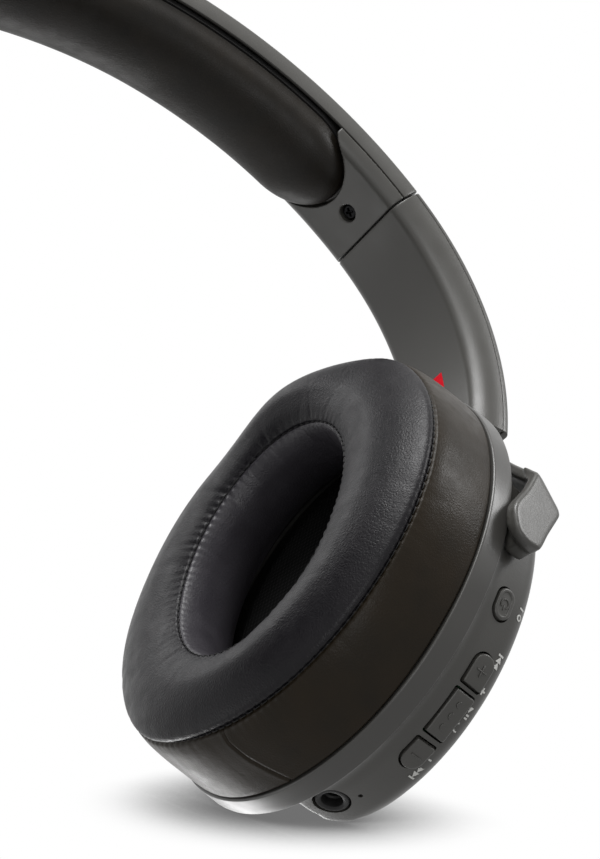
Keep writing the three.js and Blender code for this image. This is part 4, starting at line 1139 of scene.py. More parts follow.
@dataclass
class Headband:
    """Shell, padded cushion and the two end caps with their screws."""

    shell_wall: float = 1.8
    shell_side: float = 1.2
    cushion_crown: float = 6.5
    cushion_half: float = 11.3
    cushion_flat_end: float = 35.0
    cushion_end: float = 49.2
    cushion_seat: float = 1.9
    cap_tip: float = 40.2
    pocket_gap: float = 0.6
    cap_depth: float = 3.6
    horn_chamfer: float = 3.6
    screw_at: float = 54.3
    screw_head: float = 1.75
    screw_sink: float = 0.8

    def outer_edge(self) -> list[list[float]]:
        """Rounded outer corner of the band's outline."""
        r = BAND.outer_round
        return arc(BAND.width / 2 - r, BAND.thickness - r, r, 0, 90, 8)

    def side_round(self, end: float) -> list[list[float]]:
        """Wide round from the band's inner face up its side, as far as a depth.

        Args:
            end: Depth where the run of points stops.

        Returns:
            Points [y, depth] from the inner face outwards.
        """
        across, deep = BAND.side_across, BAND.side_deep
        last = math.asin(min(1.0, max(-1.0, end / deep - 1)))
        angles = np.linspace(-math.pi / 2, last, 14)
        points = [[BAND.width / 2 - across + across * math.cos(t), deep + deep * math.sin(t)] for t in angles]
        return points + ([[BAND.width / 2, end]] if end > deep else [])

    def side_at(self, depth: float) -> float:
        """Half width of the band at a depth."""
        return self.side_round(depth)[-1][0]

    def shell(self) -> Piece:
        """Channel of the headband, open towards the head.

        Returns:
            The shell.
        """
        half, roof = BAND.width / 2, BAND.thickness - self.shell_wall
        inner, lip = half - self.shell_side, self.side_at(BAND.rim + 0.2)
        side = [[self.side_at(d), d] for d in np.linspace(BAND.rim + 0.2, BAND.side_deep, 7)]
        outline = both_sides([
            [inner - 0.5, roof], [inner - 0.15, roof - 0.15], [inner, roof - 0.5], [inner, BAND.rim + 0.2],
            [inner + 0.1, BAND.rim + 0.03], [inner + 0.2, BAND.rim], [lip - 0.2, BAND.rim],
            [lip - 0.06, BAND.rim + 0.06], *side, *self.outer_edge(),
        ])
        end = BAND.arm_start - BAND.joint_gap / 2
        return BAND.sweep("band_shell", lambda s: outline, np.linspace(-end, end, 161))

    def cushion_half_width(self, s: Any) -> Any:
        """Half width of the cushion at a length along the band."""
        past = np.maximum(0, np.abs(s) - self.cushion_flat_end) / (self.cushion_end - self.cushion_flat_end)
        return self.cushion_half * np.sqrt(np.maximum(0, 1 - past**2))

    def cushion(self) -> Piece:
        """Cushion: crowned across, drawn in at its sides, round at its ends, with a seam round its foot.

        Returns:
            The cushion.
        """
        ends = self.cushion_end - 0.25
        t = np.linspace(-1, 1, 221)
        stations = np.sign(t) * (1 - (1 - np.abs(t)) ** 1.5) * 0.55 * ends + 0.45 * np.sin(t * math.pi / 2) * ends
        angles = np.linspace(0, math.pi, 49)
        rings = []
        rng = np.random.default_rng(5)
        phases = rng.uniform(0, 6.28, 12)
        for s in stations:
            w = float(self.cushion_half_width(s))
            lift = (w / self.cushion_half) ** 0.8
            rise = np.sin(angles) ** 0.75
            y = w * np.cos(angles) * (1 - 0.04 * (1 - np.sin(angles)))
            soft = sum(math.sin(s * (0.07 + 0.05 * i) + phases[i]) * np.sin(angles * (1 + i % 3) + phases[i + 6])
                       for i in range(6)) * 0.05
            d = self.cushion_seat - 0.6 - (self.cushion_crown + self.cushion_seat - 0.6) * lift * rise + soft * rise
            y = np.concatenate([y, [-w * 0.97, w * 0.97]])
            d = np.concatenate([d, [self.cushion_seat] * 2])
            rings.append(BAND.at(s, y, d))
        return skin("band_cushion", np.array(rings), crease=60)

    def end_cap(self, side: Side) -> Piece:
        """Inner cover at one end of the band, with a pocket round the cushion's end.

        Args:
            side: The side.

        Returns:
            The cap.
        """
        half = BAND.width / 2
        deep = half - self.shell_side - 0.3
        top = BAND.rim - 0.18
        lip = self.side_at(top)
        outline = both_sides([*self.side_round(top - 0.1), [lip - 0.1, top], [deep, top], [deep, self.cap_depth]])
        end = BAND.arm_start - BAND.joint_gap / 2
        body = BAND.sweep("cap", lambda s: outline, np.linspace(self.cap_tip, end, 30), bevel=0.2)
        grow, reach = self.cushion_half + self.pocket_gap, self.cushion_end + self.pocket_gap - self.cushion_flat_end
        flat = [[self.cushion_flat_end + reach * math.cos(a), grow * math.sin(a)]
                for a in np.linspace(-math.pi / 2, math.pi / 2, 60)]
        flat = np.array([*flat, [self.cushion_flat_end - 2, grow], [self.cushion_flat_end - 2, -grow]])
        cuts = [skin("pocket",
                     np.array([BAND.at(flat[:, 0], flat[:, 1], d) for d in (-1.5, self.cap_depth - 0.9)]))]
        for sign in (1, -1):
            corner = np.array([[self.cap_tip - 1, half + 1], [self.cap_tip - 1, half - self.horn_chamfer],
                               [self.cap_tip + self.horn_chamfer, half - self.horn_chamfer]])
            low = BAND.at(corner[:, 0], sign * corner[:, 1], -1)
            high = BAND.at(self.cap_tip - 1 + (corner[:, 0] - self.cap_tip + 1) * 0.2, sign * corner[:, 1],
                           BAND.rim - 1)
            cuts.append(skin("corner", np.array([low, high])))
        cuts.append(BAND.across("sink", self.screw_at, 0, self.screw_head + 0.3, -1, self.screw_sink + 1.3))
        body = moulded(boolean(body, "DIFFERENCE", *cuts), 0.2, 3)
        body.name = f"band_end_cap_{side.label}"
        return moved(body, side.turn)

    def screw(self, side: Side) -> Piece:
        """Pan-head screw with a cross recess.

        Args:
            side: The side.

        Returns:
            The screw.
        """
        r, top = self.screw_head, self.screw_sink
        profile = [(0, top), (0.45, top + 0.01), (0.8, top + 0.07), (0.95, top + 0.2), (1, top + 0.4), (1, top + 1)]
        rings = []
        for share, depth in profile:
            rings.append(at_height(np.array(arc(0, 0, max(r * share, 1e-4), 0, 352.5, 47)), depth))
        shank = at_height(np.array(arc(0, 0, 0.8, 0, 352.5, 47)), top + 1)
        rings += [shank, shank + [0, 0, 2.6]]
        head = skin("screw", np.array(rings))
        a, b = 1.15, 0.3
        cross = [[a, -b], [a, b], [b, b], [b, a], [-b, a], [-b, b], [-a, b], [-a, -b], [-b, -b], [-b, -a], [b, -a],
                 [b, -b]]
        flat = np.array(cross)
        cut = skin("cross", np.array([at_height(flat * 1.05, top - 0.3), at_height(flat * 0.62, top + 0.85)]))
        head = moulded(boolean(head, "DIFFERENCE", cut), 0.07, 2)
        turn = math.radians(24)
        spin = np.array([[math.cos(turn), math.sin(turn), 0], [-math.sin(turn), math.cos(turn), 0], [0, 0, 1]])
        moved(head, lambda p: BAND.stand(self.screw_at, 0, p @ spin))
        head.name = f"band_end_screw_{side.label}"
        return moved(head, side.turn)

    def build(self) -> None:
        """Builds and hands in the headband's pieces."""
        hand_in(self.shell(), "band", "housing_plastic", "headband_shell", finish=SOFT_TOUCH)
        cushion = hand_in(self.cushion(), "band", "leatherette", "headband_cushion", finish=BAND_LEATHER)
        for side in Side:
            hand_in(self.end_cap(side), "band", "housing_plastic", f"end_cap_{side.label}", finish=SOFT_TOUCH)
            hand_in(self.screw(side), "band", "black_screw", f"end_cap_screw_{side.label}", finish=BLACK_STEEL)


# ---------------------------------------------------------------- arms


@dataclass
class Arm:
    """One arm: an inner half and an outer cover with a parting line between them."""

    side: Side
    floor: float = 2.4
    wall: float = 1.6
    parting: float = 6.8
    seam: float = 0.08
    rib: float = 0.9
    end_block: float = 9.0
    marker_size: tuple[float, float] = (4.8, 3.0)
    marker_up: float = 17.2
    marker_rear: float = 1.0

    def stations(self) -> Points:
        """Lengths along the arm where the outline is drawn."""
        start, end = BAND.arm_start + BAND.joint_gap / 2, BAND.arm_end
        step = end - self.end_block
        return np.concatenate([np.linspace(start, step, 70), [step + 0.02], np.linspace(step + 0.5, end, 12)])

    def housing(self) -> Piece:
        """Inner half: a channel whose floor rises to a solid block at its lower end.

        Returns:
            The inner half.
        """
        half, inside, lip = BAND.width / 2, BAND.width / 2 - self.wall, self.parting - self.seam
        step = BAND.arm_end - self.end_block + 0.01

        def outline(s: float) -> Outline:
            """Outline at one station."""
            floor = self.floor if s < step else lip - 0.01
            return both_sides([[inside - 0.2, floor], [inside, min(floor + 0.2, lip)], [inside, lip],
                               [half - 0.12, lip],
                               *reversed(BANDHEAD.side_round(lip - 0.12))])

        return BAND.sweep(f"arm_inner_{self.side.label}", outline, self.stations())

    def cover(self) -> Piece:
        """Outer cover with a rib that sits inside the channel.

        Returns:
            The cover.
        """
        half, inside, lip = BAND.width / 2, BAND.width / 2 - self.wall - 0.3, self.parting + self.seam
        step = BAND.arm_end - self.end_block - 0.3

        def outline(s: float) -> Outline:
            """Outline at one station."""
            rib = self.parting - self.rib if s < step else lip - 0.01
            return both_sides([[inside, rib], [inside, lip], [half - 0.12, lip], [half, lip + 0.12],
                               *BANDHEAD.outer_edge()])

        return BAND.sweep(f"arm_outer_{self.side.label}", outline, self.stations())

    def marker(self) -> Piece:
        """Small printed bar inside the arm that tells the sides apart: one colour on the right.

        Returns:
            The marker.
        """
        a, b = self.marker_size[0] / 2, self.marker_size[1] / 2
        flat = np.array([[a, -b], [a, b], [-a, b], [-a, -b]])
        bar = skin(f"arm_marker_{self.side.label}", np.array([at_height(flat, d) for d in (-0.03, 0.05)]))
        moved(bar, lambda p: BAND.stand(BAND.arm_end - self.marker_up, self.marker_rear, p))
        return moved(bar, self.side.turn)

    def build(self) -> None:
        """Builds and hands in the arm's pieces."""
        body, label = f"arm_{self.side.label}", self.side.label
        hand_in(moved(self.housing(), self.side.turn), body, "housing_plastic", f"arm_housing_{label}",
                finish=SOFT_TOUCH)
        hand_in(moved(self.cover(), self.side.turn), body, "housing_plastic", f"arm_cover_{label}",
                finish=SOFT_TOUCH)
        ink = RED_INK if self.side is Side.RIGHT else WHITE_INK
        hand_in(self.marker(), body, "housing_plastic", finish=ink)


BANDHEAD = Headband()


# ---------------------------------------------------------------- cup's place and outline


@dataclass(frozen=True)
class CupPlace:
    """Where a cup hangs: its own axes are X towards the head, Y to the rear and Z up."""

    toe_in: float = math.radians(9.7)
    tilt: float = math.radians(4.3)
    swivel_x: float = 85.8
    reach: float = 22.1
    height: float = -1.6
    pivot_depth: float = 7.6
    pivot_drop: float = 1.6

    def fork(self, p: Points) -> Points:
        """From the right fork's own axes, on the swivel, to the row frame."""
        c, s = math.cos(self.toe_in), math.sin(self.toe_in)
        return np.column_stack([p[:, 0] * c - p[:, 1] * s - self.swivel_x, p[:, 0] * s + p[:, 1] * c, p[:, 2]])

    def lean(self, p: Points) -> Points:
        """From the right cup's own axes to the fork's.

        Args:
            p: Points in the cup's axes.

        Returns:
            Points in the fork's axes.
        """
        x, z = p[:, 0] + self.pivot_depth, p[:, 2] + self.pivot_drop
        c, s = math.cos(self.tilt), math.sin(self.tilt)
        return np.column_stack([x * c - z * s + self.reach, p[:, 1], x * s + z * c + self.height])

    def cup(self, p: Points) -> Points:
        """From the right cup's own axes to the row frame."""
        return self.fork(self.lean(p))


PLACE = CupPlace()


@dataclass(frozen=True)
class Oval:
    """The cup's outline and the depths that its pieces share."""

    half_width: float = 41
    half_height: float = 45
    ring_depth: float = 4.5
    flare: float = 0.2
    ring_wall: float = 9.6
    step: float = 2.2
    taper: float = 0.5
    depth: float = 13.6
    round_: float = 4.2
    round_end: float = 0.42
    wall: float = 1.8
    neck: float = 34.2
    panel_top: float = 11.0
    end_slope: float = 0.104
    back_lean: float = 0.045

    def inside(self, x: float, distance: float) -> tuple[float, float, float]:
        """A profile point at depth x, so far inside the outline."""
        return x, self.half_width - distance, self.half_height - distance

    def leaned(self, p: Points) -> Points:
        """Leans the cup's back: shallower towards the top.

        Args:
            p: Points in the cup's axes.

        Returns:
            The leaned points.
        """
        share = np.clip((-p[:, 0] - 8) / (self.depth - 8), 0, 1)
        out = p.copy()
        out[:, 0] += share * (1 + self.back_lean * p[:, 2])
        return out

    def turned(self, name: str, profile: Outline, sides: int = 160) -> Piece:
        """A body turned round the oval, reaching the axis at both ends.

        Args:
            name: Name of the body.
            profile: Points (depth, half width, half height).
            sides: Steps round it.

        Returns:
            The body, in the cup's axes.
        """
        flat = np.array(profile, float)
        t = np.arange(sides) / sides * 2 * math.pi
        rings = np.stack([np.broadcast_to(flat[:, :1], (len(flat), sides)), flat[:, 1:2] * np.cos(t),
                          flat[:, 2:] * np.sin(t)], -1)
        return skin(name, rings)

    def on_wall(self, angle: float, depth: float, local: Points) -> Points:
        """Puts points drawn flat on the cup's side wall.

        Args:
            angle: Degrees on the rim, 0 at the rear and negative towards the bottom.
            depth: Behind the ring's front edge.
            local: Points (depthwise, along the rim, out).

        Returns:
            Points in the cup's axes.
        """
        t = math.radians(angle)
        w, h = self.half_width - self.step, self.half_height - self.step
        base = np.array([-depth, w * math.cos(t), h * math.sin(t)])
        along = np.array([0, -w * math.sin(t), h * math.cos(t)])
        along /= np.linalg.norm(along)
        out = np.array([0, along[2], -along[1]])
        return base - local[:, :1] * np.array([1.0, 0, 0]) + local[:, 1:2] * along + local[:, 2:] * out


OVAL = Oval()


# ---------------------------------------------------------------- fork


@dataclass
class Fork:
    """Strap over the cup's upper half, with an ear over each tilt pivot."""

    side: Side
    strap_r: float = 38.2
    strap: float = 2.8
    ear_r: float = 44.5
    ear: float = 2.2
    ear_round: float = 3.0
    corner_z: float = 8.4
    slope: Outline = field(default_factory=lambda: [[42.3, 11.7], [39.9, 14.0], [36.8, 17.2], [33.8, 20.6],
                                                    [30.6, 24.1]])
    fold_at: tuple[float, float, float] = (15.97, 44.5, 4.17)
    fold_way: tuple[float, float, float] = (-0.68, 1.0, 0.73)
    head_half: float = 13.3
    head_round: float = 2.3
    boss_r: float = 5.8
    pin_r: float = 1.5
    edge: float = 0.6
    voxel: float = 0.36
    tilt_room: float = 10.5
    ring_gap: float = 0.5
    profile: Outline = field(default_factory=lambda: [
        [5, 31.5], [9.4, 26], [12, 21], [13, 17], [13.6, 13.5], [14.2, 10.5], [14.9, 7.6], [15.7, 4.8], [15.9, 3.8],
        [16.2, 2.6], [18.6, -2.6], [20.4, -6.9], [21.9, -7.6], [24, -7.6], [26.3, -6.3], [27.3, -2.9], [26.9, -0.4],
        [24.6, 3.7], [22.5, 8.8], [21.8, 11], [21.4, 15], [19.5, 20], [14, 30]])

    def front(self, top: float) -> tuple[Points, Points]:
        """The fork and the room under it, seen from the head's side.

        Args:
            top: Height of its head.

        Returns:
            Outlines of [y, z] points in the fork's axes.
        """
        inner, low, w, thick = self.strap_r - self.strap, PLACE.height - 12, self.head_half, self.ear
        rise, r = top - self.strap_r, self.ear_round
        corner_y, corner_z = self.ear_r - r, self.corner_z
        outer = [[self.ear_r, low], *arc(corner_y, corner_z, r, 0, 58, 8), *self.slope,
                 *arc(0, 0, self.strap_r, 44, 66, 18),
                 [w - 0.1, self.strap_r], [w - 0.3, self.strap_r + rise * 0.25],
                 [w + 0.1, self.strap_r + rise * 0.52],
                 [w + 0.4, top - rise * 0.2], [w, top - 0.5], [w - 0.6, top]]
        under = [[self.ear_r - thick, low - 9], *arc(corner_y, corner_z, r - thick, 0, 58, 4),
                 *[[y - 0.6 * thick, z - 0.8 * thick] for y, z in self.slope], *arc(0, 0, inner, 44, 90, 40)]
        return np.array(both_sides(outer)), np.array(both_sides(under))

    def ring_space(self, p: Sequence[Points], half_width: float) -> Points:
        """Distance to the space that the ring passes through as the cup tilts.

        Args:
            p: The field's points in the fork's axes, as x, y and z.
            half_width: Half width of the space.

        Returns:
            Distances, negative inside the space.
        """
        half_height = half_width + OVAL.half_height - OVAL.half_width
        spaces = []
        for degrees in np.linspace(-self.tilt_room, self.tilt_room, 7):
            a = math.radians(degrees) - PLACE.tilt
            dx, dz = p[0] - PLACE.reach, p[2] - PLACE.height
            x = dx * math.cos(a) - dz * math.sin(a) - PLACE.pivot_depth
            z = dx * math.sin(a) + dz * math.cos(a) - PLACE.pivot_drop
            share = np.sqrt((p[1] / half_width) ** 2 + (z / half_height) ** 2)
            slope = np.sqrt((p[1] / half_width**2) ** 2 + (z / half_height**2) ** 2) / np.maximum(share, 1e-3)
            side = (share - 1) / np.maximum(slope, 1e-3)
            spaces.append(np.maximum(side, -OVAL.ring_depth - 0.4 - x))
        return np.minimum.reduce(spaces)

    def solid(self) -> Piece:
        """The whole fork as one moulded body in its own axes."""
        top, half = BAND.arm_z - 0.6, BAND.thickness / 2
        field = Field((-5.5, -46, -9), (29, 46, 54.5), self.voxel)
        x, y, z = field.points
        outer, under = [np.broadcast_to(outline_distance(line, y[0], z[0])[None], x.shape)
                        for line in self.front(top)]
        curve = spline(np.array(self.profile, float), 6)
        profile = [[half, 45], [half, top], [-half, top], [-half, 44], [-1.5, 38], *curve.tolist(), [6, 38]]
        side = outline_distance(np.array(profile), x[:, :1], z[:, :1])
        reach = np.hypot(y, z)
        way = np.array(self.fold_way) / np.linalg.norm(self.fold_way)
        fold = (x - self.fold_at[0]) * way[0] + (np.abs(y) - self.fold_at[1]) * way[1] + (z - self.fold_at[2]) * way[2]
        outer = rounded_and(outer, np.minimum(fold, reach - self.strap_r), 0.8)
        under = rounded_and(under, np.minimum(fold + self.ear, reach - self.strap_r + self.strap), 0.8)
        body = rounded_and(rounded_and(outer, -under, 0.3), side, self.edge)
        w, r = self.head_half + 0.5, self.head_round
        block = rounded_and(np.abs(y) - w, -half - x, r)
        body = np.where(z > 39, np.maximum(body, block), body)
        body = rounded_and(body, -self.ring_space(field.points, OVAL.half_width + self.ring_gap), 0.9)
        for sign in (1, -1):
            drop = PLACE.pivot_drop / (OVAL.half_height - OVAL.step)
            inner = (OVAL.half_width - OVAL.step) * math.sqrt(1 - drop**2) if sign > 0 else OVAL.neck
            round_ = np.sqrt((x - PLACE.reach) ** 2 + (z - PLACE.height) ** 2) - self.boss_r
            length = np.maximum(inner + 0.5 - sign * y, sign * y - (self.ear_r - self.ear + 0.6))
            boss = rounded_and(np.maximum(round_, side), length, 0.4)
            boss = rounded_and(boss, -self.ring_space(field.points, self.ear_r - self.ear), 0.3)
            body = rounded_or(body, boss, 0.5)
        bore = np.maximum(np.sqrt(x**2 + y**2) - self.pin_r - 0.3, 30 - z)
        sink = np.maximum(np.maximum(np.sqrt(x**2 + y**2) - 3.1, z - BAND.arm_z + 7.7), 30 - z)
        body = np.maximum(body, -np.minimum(bore, sink))
        return field.skinned(f"yoke_{self.side.label}", body)

    def build(self) -> None:
        """Builds and hands in the fork."""
        body = self.solid()
        moved(moved(body, PLACE.fork), self.side.turn)
        hand_in(body, f"fork_{self.side.label}", "housing_plastic", f"fork_{self.side.label}", finish=SOFT_TOUCH)


# ---------------------------------------------------------------- keys


class KeyMark(Enum):
    """What a key has in relief."""

    POWER = "power"
    PLUS = "plus"
    DOTS = "dots"
    MINUS = "minus"


@dataclass(frozen=True)
class Key:
    """A key in the cup's wall, with what it has in relief."""

    name: str
    mark: KeyMark
    angle: float
    depth: float
    half_length: float
    half_width: float
    round_low: bool
    round_high: bool
    proud: float = 0.45
    reach_in: float = 2.6

    @classmethod
    def span(cls, name: str, mark: KeyMark, low: float, high: float, round_low: bool, round_high: bool) -> "Key":
        """A key of the row between two angles on the rim."""
        ends = [OVAL.on_wall(a, 11.9, np.zeros((1, 3)))[0] for a in (low, high)]
        return cls(name, mark, (low + high) / 2, 11.9, float(np.linalg.norm(ends[1] - ends[0])) / 2, 2.15,
                   round_low, round_high)

    def outline(self, grow: float = 0.0) -> Points:
        """Outline in (depthwise, along), with round ends where it has them.

        Args:
            grow: Extra size all round.

        Returns:
            Points of the outline.
        """
        w, h = self.half_width + grow, self.half_length + grow
        r = 0.45
        points = arc(0, h - w, w, 0, 180, 24) if self.round_high else [
            *arc(w - r, h - r, r, 0, 90, 5), *arc(r - w, h - r, r, 90, 180, 5)]
        points += arc(0, w - h, w, 180, 360, 24) if self.round_low else [
            *arc(r - w, r - h, r, 180, 270, 5), *arc(w - r, r - h, r, 270, 360, 5)]
        return np.array(points)

    def bent(self, local: Points) -> Points:
        """Bends points drawn flat to the wall's curve."""
        out = local.copy()
        out[:, 2] -= local[:, 1] ** 2 / (2 * OVAL.half_width)
        return out

    def put(self, piece: Piece) -> Piece:
        """Moves a body from the key's own axes to the row frame."""
        return moved(piece, lambda p: PLACE.cup(OVAL.on_wall(self.angle, self.depth, self.bent(p))))

    def ridge(self, line: Outline, width: float = 0.34, height: float = 0.24) -> Piece:
        """A rounded ridge along a line on the key's face.

        Args:
            line: Points of its middle line.
            width: Its width.
            height: How far it stands out.

        Returns:
            A closed body in the key's axes.
        """
        path = np.array(line, float)
        way = np.gradient(path, axis=0)
        way /= np.maximum(np.linalg.norm(way, axis=1, keepdims=True), 1e-9)
        across = np.column_stack([-way[:, 1], way[:, 0]])
        path = np.concatenate([path[:1] - way[:1] * width * 0.4, path, path[-1:] + way[-1:] * width * 0.4])
        across = np.concatenate([across[:1], across, across[-1:]])
        size = np.ones(len(path))
        size[[0, -1]] = 0.35
        base = self.proud - 0.25 - (0.22 if self.mark is KeyMark.POWER else 0)
        rings = []
        for p, a, k in zip(path, across, size):
            arch = [(math.cos(t) * width / 2 * k, math.sin(t) * height * k) for t in np.linspace(0, math.pi, 7)]
            ring = [[*(p + a * u), base + 0.25 + v] for u, v in arch]
            rings.append(ring + [[*(p - a * width / 2 * k), base], [*(p + a * width / 2 * k), base]])
        return skin("ridge", np.array(rings), crease=50)

    def marks(self) -> list[Piece]:
        """Ridges of the key's mark."""
        if self.mark is KeyMark.PLUS:
            return [self.ridge([[-1.0, 0], [-0.3, 0], [0.3, 0], [1.0, 0]]),
                    self.ridge([[0, -1.0], [0, -0.3], [0, 0.3], [0, 1.0]])]
        if self.mark is KeyMark.MINUS:
            return [self.ridge([[-1.0, 0], [-0.3, 0], [0.3, 0], [1.0, 0]])]
        if self.mark is KeyMark.POWER:
            return [self.ridge(arc(0, 0, 0.85, -50, 230, 20), 0.26, 0.2),
                    self.ridge([[0, -1.15], [0, -0.8], [0, -0.3]], 0.26, 0.2)]
        return [self.ridge(arc(0.1, y, 0.55, 100, 260, 10), 0.3, 0.2) for y in (-2.3, 0, 2.3)]

    def body(self) -> Piece:
        """The key with rounded top edges and its relief.

        Returns:
            The key in the row frame.
        """
        flat, r = self.outline(), 0.35
        rings = [(flat, -self.reach_in), (flat, self.proud - r)]
        for turn in (25, 50, 70, 90):
            t = math.radians(turn)
            rings.append((inset(flat, r * (1 - math.cos(t))), self.proud - r + r * math.sin(t)))
        top = rings[-1][0]
        if self.mark is KeyMark.POWER:
            rings += [(inset(top, 0.22), self.proud), (inset(top, 0.34), self.proud - 0.06),
                      (inset(top, 0.42), self.proud - 0.2)]
            top = inset(top, 0.55)
            rings.append((top, self.proud - 0.22))
        face = rings[-1][1]
        rings += [(top * share, face) for share in (0.8, 0.6, 0.4, 0.2, 0.001)]
        body = skin("key", np.array([at_height(f, z) for f, z in rings]), crease=50)
        return self.put(joined(self.name.replace("button", "key"), [body, *self.marks()]))

    def hole(self) -> Piece:
        """Body of the key's hole in the wall, in the row frame."""
        flat = self.outline(0.35)
        return self.put(skin("hole", np.array([at_height(flat, z) for z in (-6.0, -3.0, 0.0, 4.0)])))


KEYS = [
    Key("power_button", KeyMark.POWER, -20.5, 10.2, 2.95, 1.85, True, True),
    Key.span("volume_up_button", KeyMark.PLUS, -41.6, -33, False, True),
    Key.span("play_button", KeyMark.DOTS, -56.2, -43.6, False, False),
    Key.span("volume_down_button", KeyMark.MINUS, -66.6, -58.6, True, False),
]


# ---------------------------------------------------------------- ear pad


@dataclass
class EarPad:
    """Padded ring with a crowned face between two sewn seams and a flank with one cross seam."""

    side: Side
    seam: tuple[float, float, float] = (13.9, 39.8, 40.6)
    mouth: tuple[float, float, float] = (17.7, 21.0, 26.5)
    swell_spread: float = math.radians(40)
    seat: float = 1.9
    pitch: float = 1.75
    stitch: float = 1.2
    thread: float = 0.12
    rise: float = 0.24
    sunk: dict[str, float] = field(default_factory=lambda: {"outer": 0.42, "inner": 0.26})
    groove: float = 0.4
    dip: float = 0.12
    flute: float = 0.17
    folds: int = 26
    corners: Sequence[tuple[float, float, float]] = ((60, 24, 1.25), (232, 24, 1.0), (110, 16, -0.6))
    crown: Outline = field(default_factory=lambda: [
        [0.985, 15.2, 0.5], [0.93, 16.1, 1.4], [0.86, 16.9, 2.1], [0.75, 17.9, 2.5], [0.62, 18.7, 2.6],
        [0.45, 19.3, 2.2],
        [0.3, 19.2, 1.6], [0.14, 18.7, 0.9]])
    cross_seam: Outline = field(default_factory=lambda: [[0.8, -87.8], [5, -90.8], [8, -92.7], [11.5, -94],
                                                         [13.9, -93.5]])

    def angles(self) -> Points:
        """Angles round the pad, crowded where the cross seam runs."""
        coarse = math.radians(0.6)
        fine = math.radians(0.16)
        low, high = math.radians(-96), math.radians(-86)
        near = np.arange(low, high, fine)
        rest = np.linspace(high, low + 2 * math.pi, int((2 * math.pi - (high - low)) / coarse))[:-1]
        return np.concatenate([near, rest])

    def fullness(self, t: Points) -> Points:
        """How far the sewn edge stands out of its oval, in mm: fuller at two corners, drawn in between.

        Args:
            t: Angles round the pad.

        Returns:
            Distances.
        """
        out = np.zeros_like(t)
        for centre, wide, much in self.corners:
            away = np.degrees(np.angle(np.exp(1j * (t - math.radians(centre)))))
            out += much * np.exp(-((away / wide) ** 2))
        return out

    def controls(self, t: Points) -> tuple[Points, Points, Points]:
        """Control points of the flank, the crown and the inner wall.

        Args:
            t: Angles round the pad.

        Returns:
            Three arrays of points x angles x (depth, half width, half height).
        """
        ones = np.ones_like(t)

        def row(x: Any, w: float, h: float) -> Points:
            """One control point at every angle."""
            return np.stack([x * ones, w * ones, h * ones], -1)

        from_top = np.abs(np.arctan2(np.cos(t), np.sin(t)))
        top = np.where(from_top < self.swell_spread, (1 + np.cos(np.pi * from_top / self.swell_spread)) / 2, 0)
        sx, sw, sh = self.seam
        mx, mw, mh = self.mouth
        full = self.fullness(t)
        x0, w0, h0 = OVAL.inside(0.42, 0.5)
        flank = [row(*OVAL.inside(self.seat, 13.4)), row(*OVAL.inside(self.seat, 2.4)), row(*OVAL.inside(0.6, 1.7)),
                 row(*OVAL.inside(0.36, 1.0))]
        for share, bulge in ((0.0, 0), (0.14, 0.25), (0.28, 0.4), (0.56, 0.6), (0.8, 0.55), (0.95, 0.25), (1.0, 0)):
            out = bulge + full * share
            flank.append(row(x0 + (sx - x0) * share, w0 + (sw - w0) * share + out, h0 + (sh - h0) * share + out))
        crown = [row(sx, sw + full, sh + full)]
        for share, x, lift in self.crown:
            out = full * share
            crown.append(row(x + lift * top, mw + (sw - mw) * share + out,
                             mh + (sh - mh) * share + out))
        crown.append(row(mx, mw, mh))
        wall = [row(mx, mw, mh)] + [row(mx - drop, mw + out, mh + out)
                                    for drop, out in ((0.9, -0.55), (2.4, -1.1), (5, -1.5), (9, -1.1), (12.5, 0.2),
                                                      (15.2, 2.0))]
        return np.array(flank), np.array(crown), np.array(wall)

    def resampled(self, controls: Points, fine: float, coarse: float) -> tuple[Points, Points, float]:
        """Samples a stretch of the profile with rows that crowd at its ends.

        Args:
            controls: Control points of the stretch.
            fine: First step in mm.
            coarse: Longest step.

        Returns:
            The rows, their shares along the stretch, and its length.
        """
        dense = spline(controls, 24)
        seen = dense[:, len(dense[0]) // 3, :2]
        run = np.concatenate([[0], np.cumsum(np.linalg.norm(np.diff(seen, axis=0), axis=1))])
        shares = graded(run[-1], fine, coarse)
        at = np.interp(shares * run[-1], run, np.arange(len(run)))
        low = np.minimum(at.astype(int), len(run) - 2)
        part = (at - low)[:, None, None]
        return dense[low] * (1 - part) + dense[low + 1] * part, shares, float(run[-1])

    def seam_line(self, point: tuple[float, float, float], t: Points) -> tuple[Points, Points, float]:
        """Run of a seam round the pad.

        Args:
            point: The seam's place in the profile.
            t: Angles.

        Returns:
            Its points, the length run at each angle, and the whole length.
        """
        x, w, h = point
        full = self.fullness(t) if point == self.seam else 0
        points = np.stack([np.full_like(t, x), (w + full) * np.cos(t), (h + full) * np.sin(t)], -1)
        steps = np.linalg.norm(np.diff(np.concatenate([points, points[:1]]), axis=0), axis=1)
        run = np.concatenate([[0], np.cumsum(steps)])
        return points, run[:-1], float(run[-1])

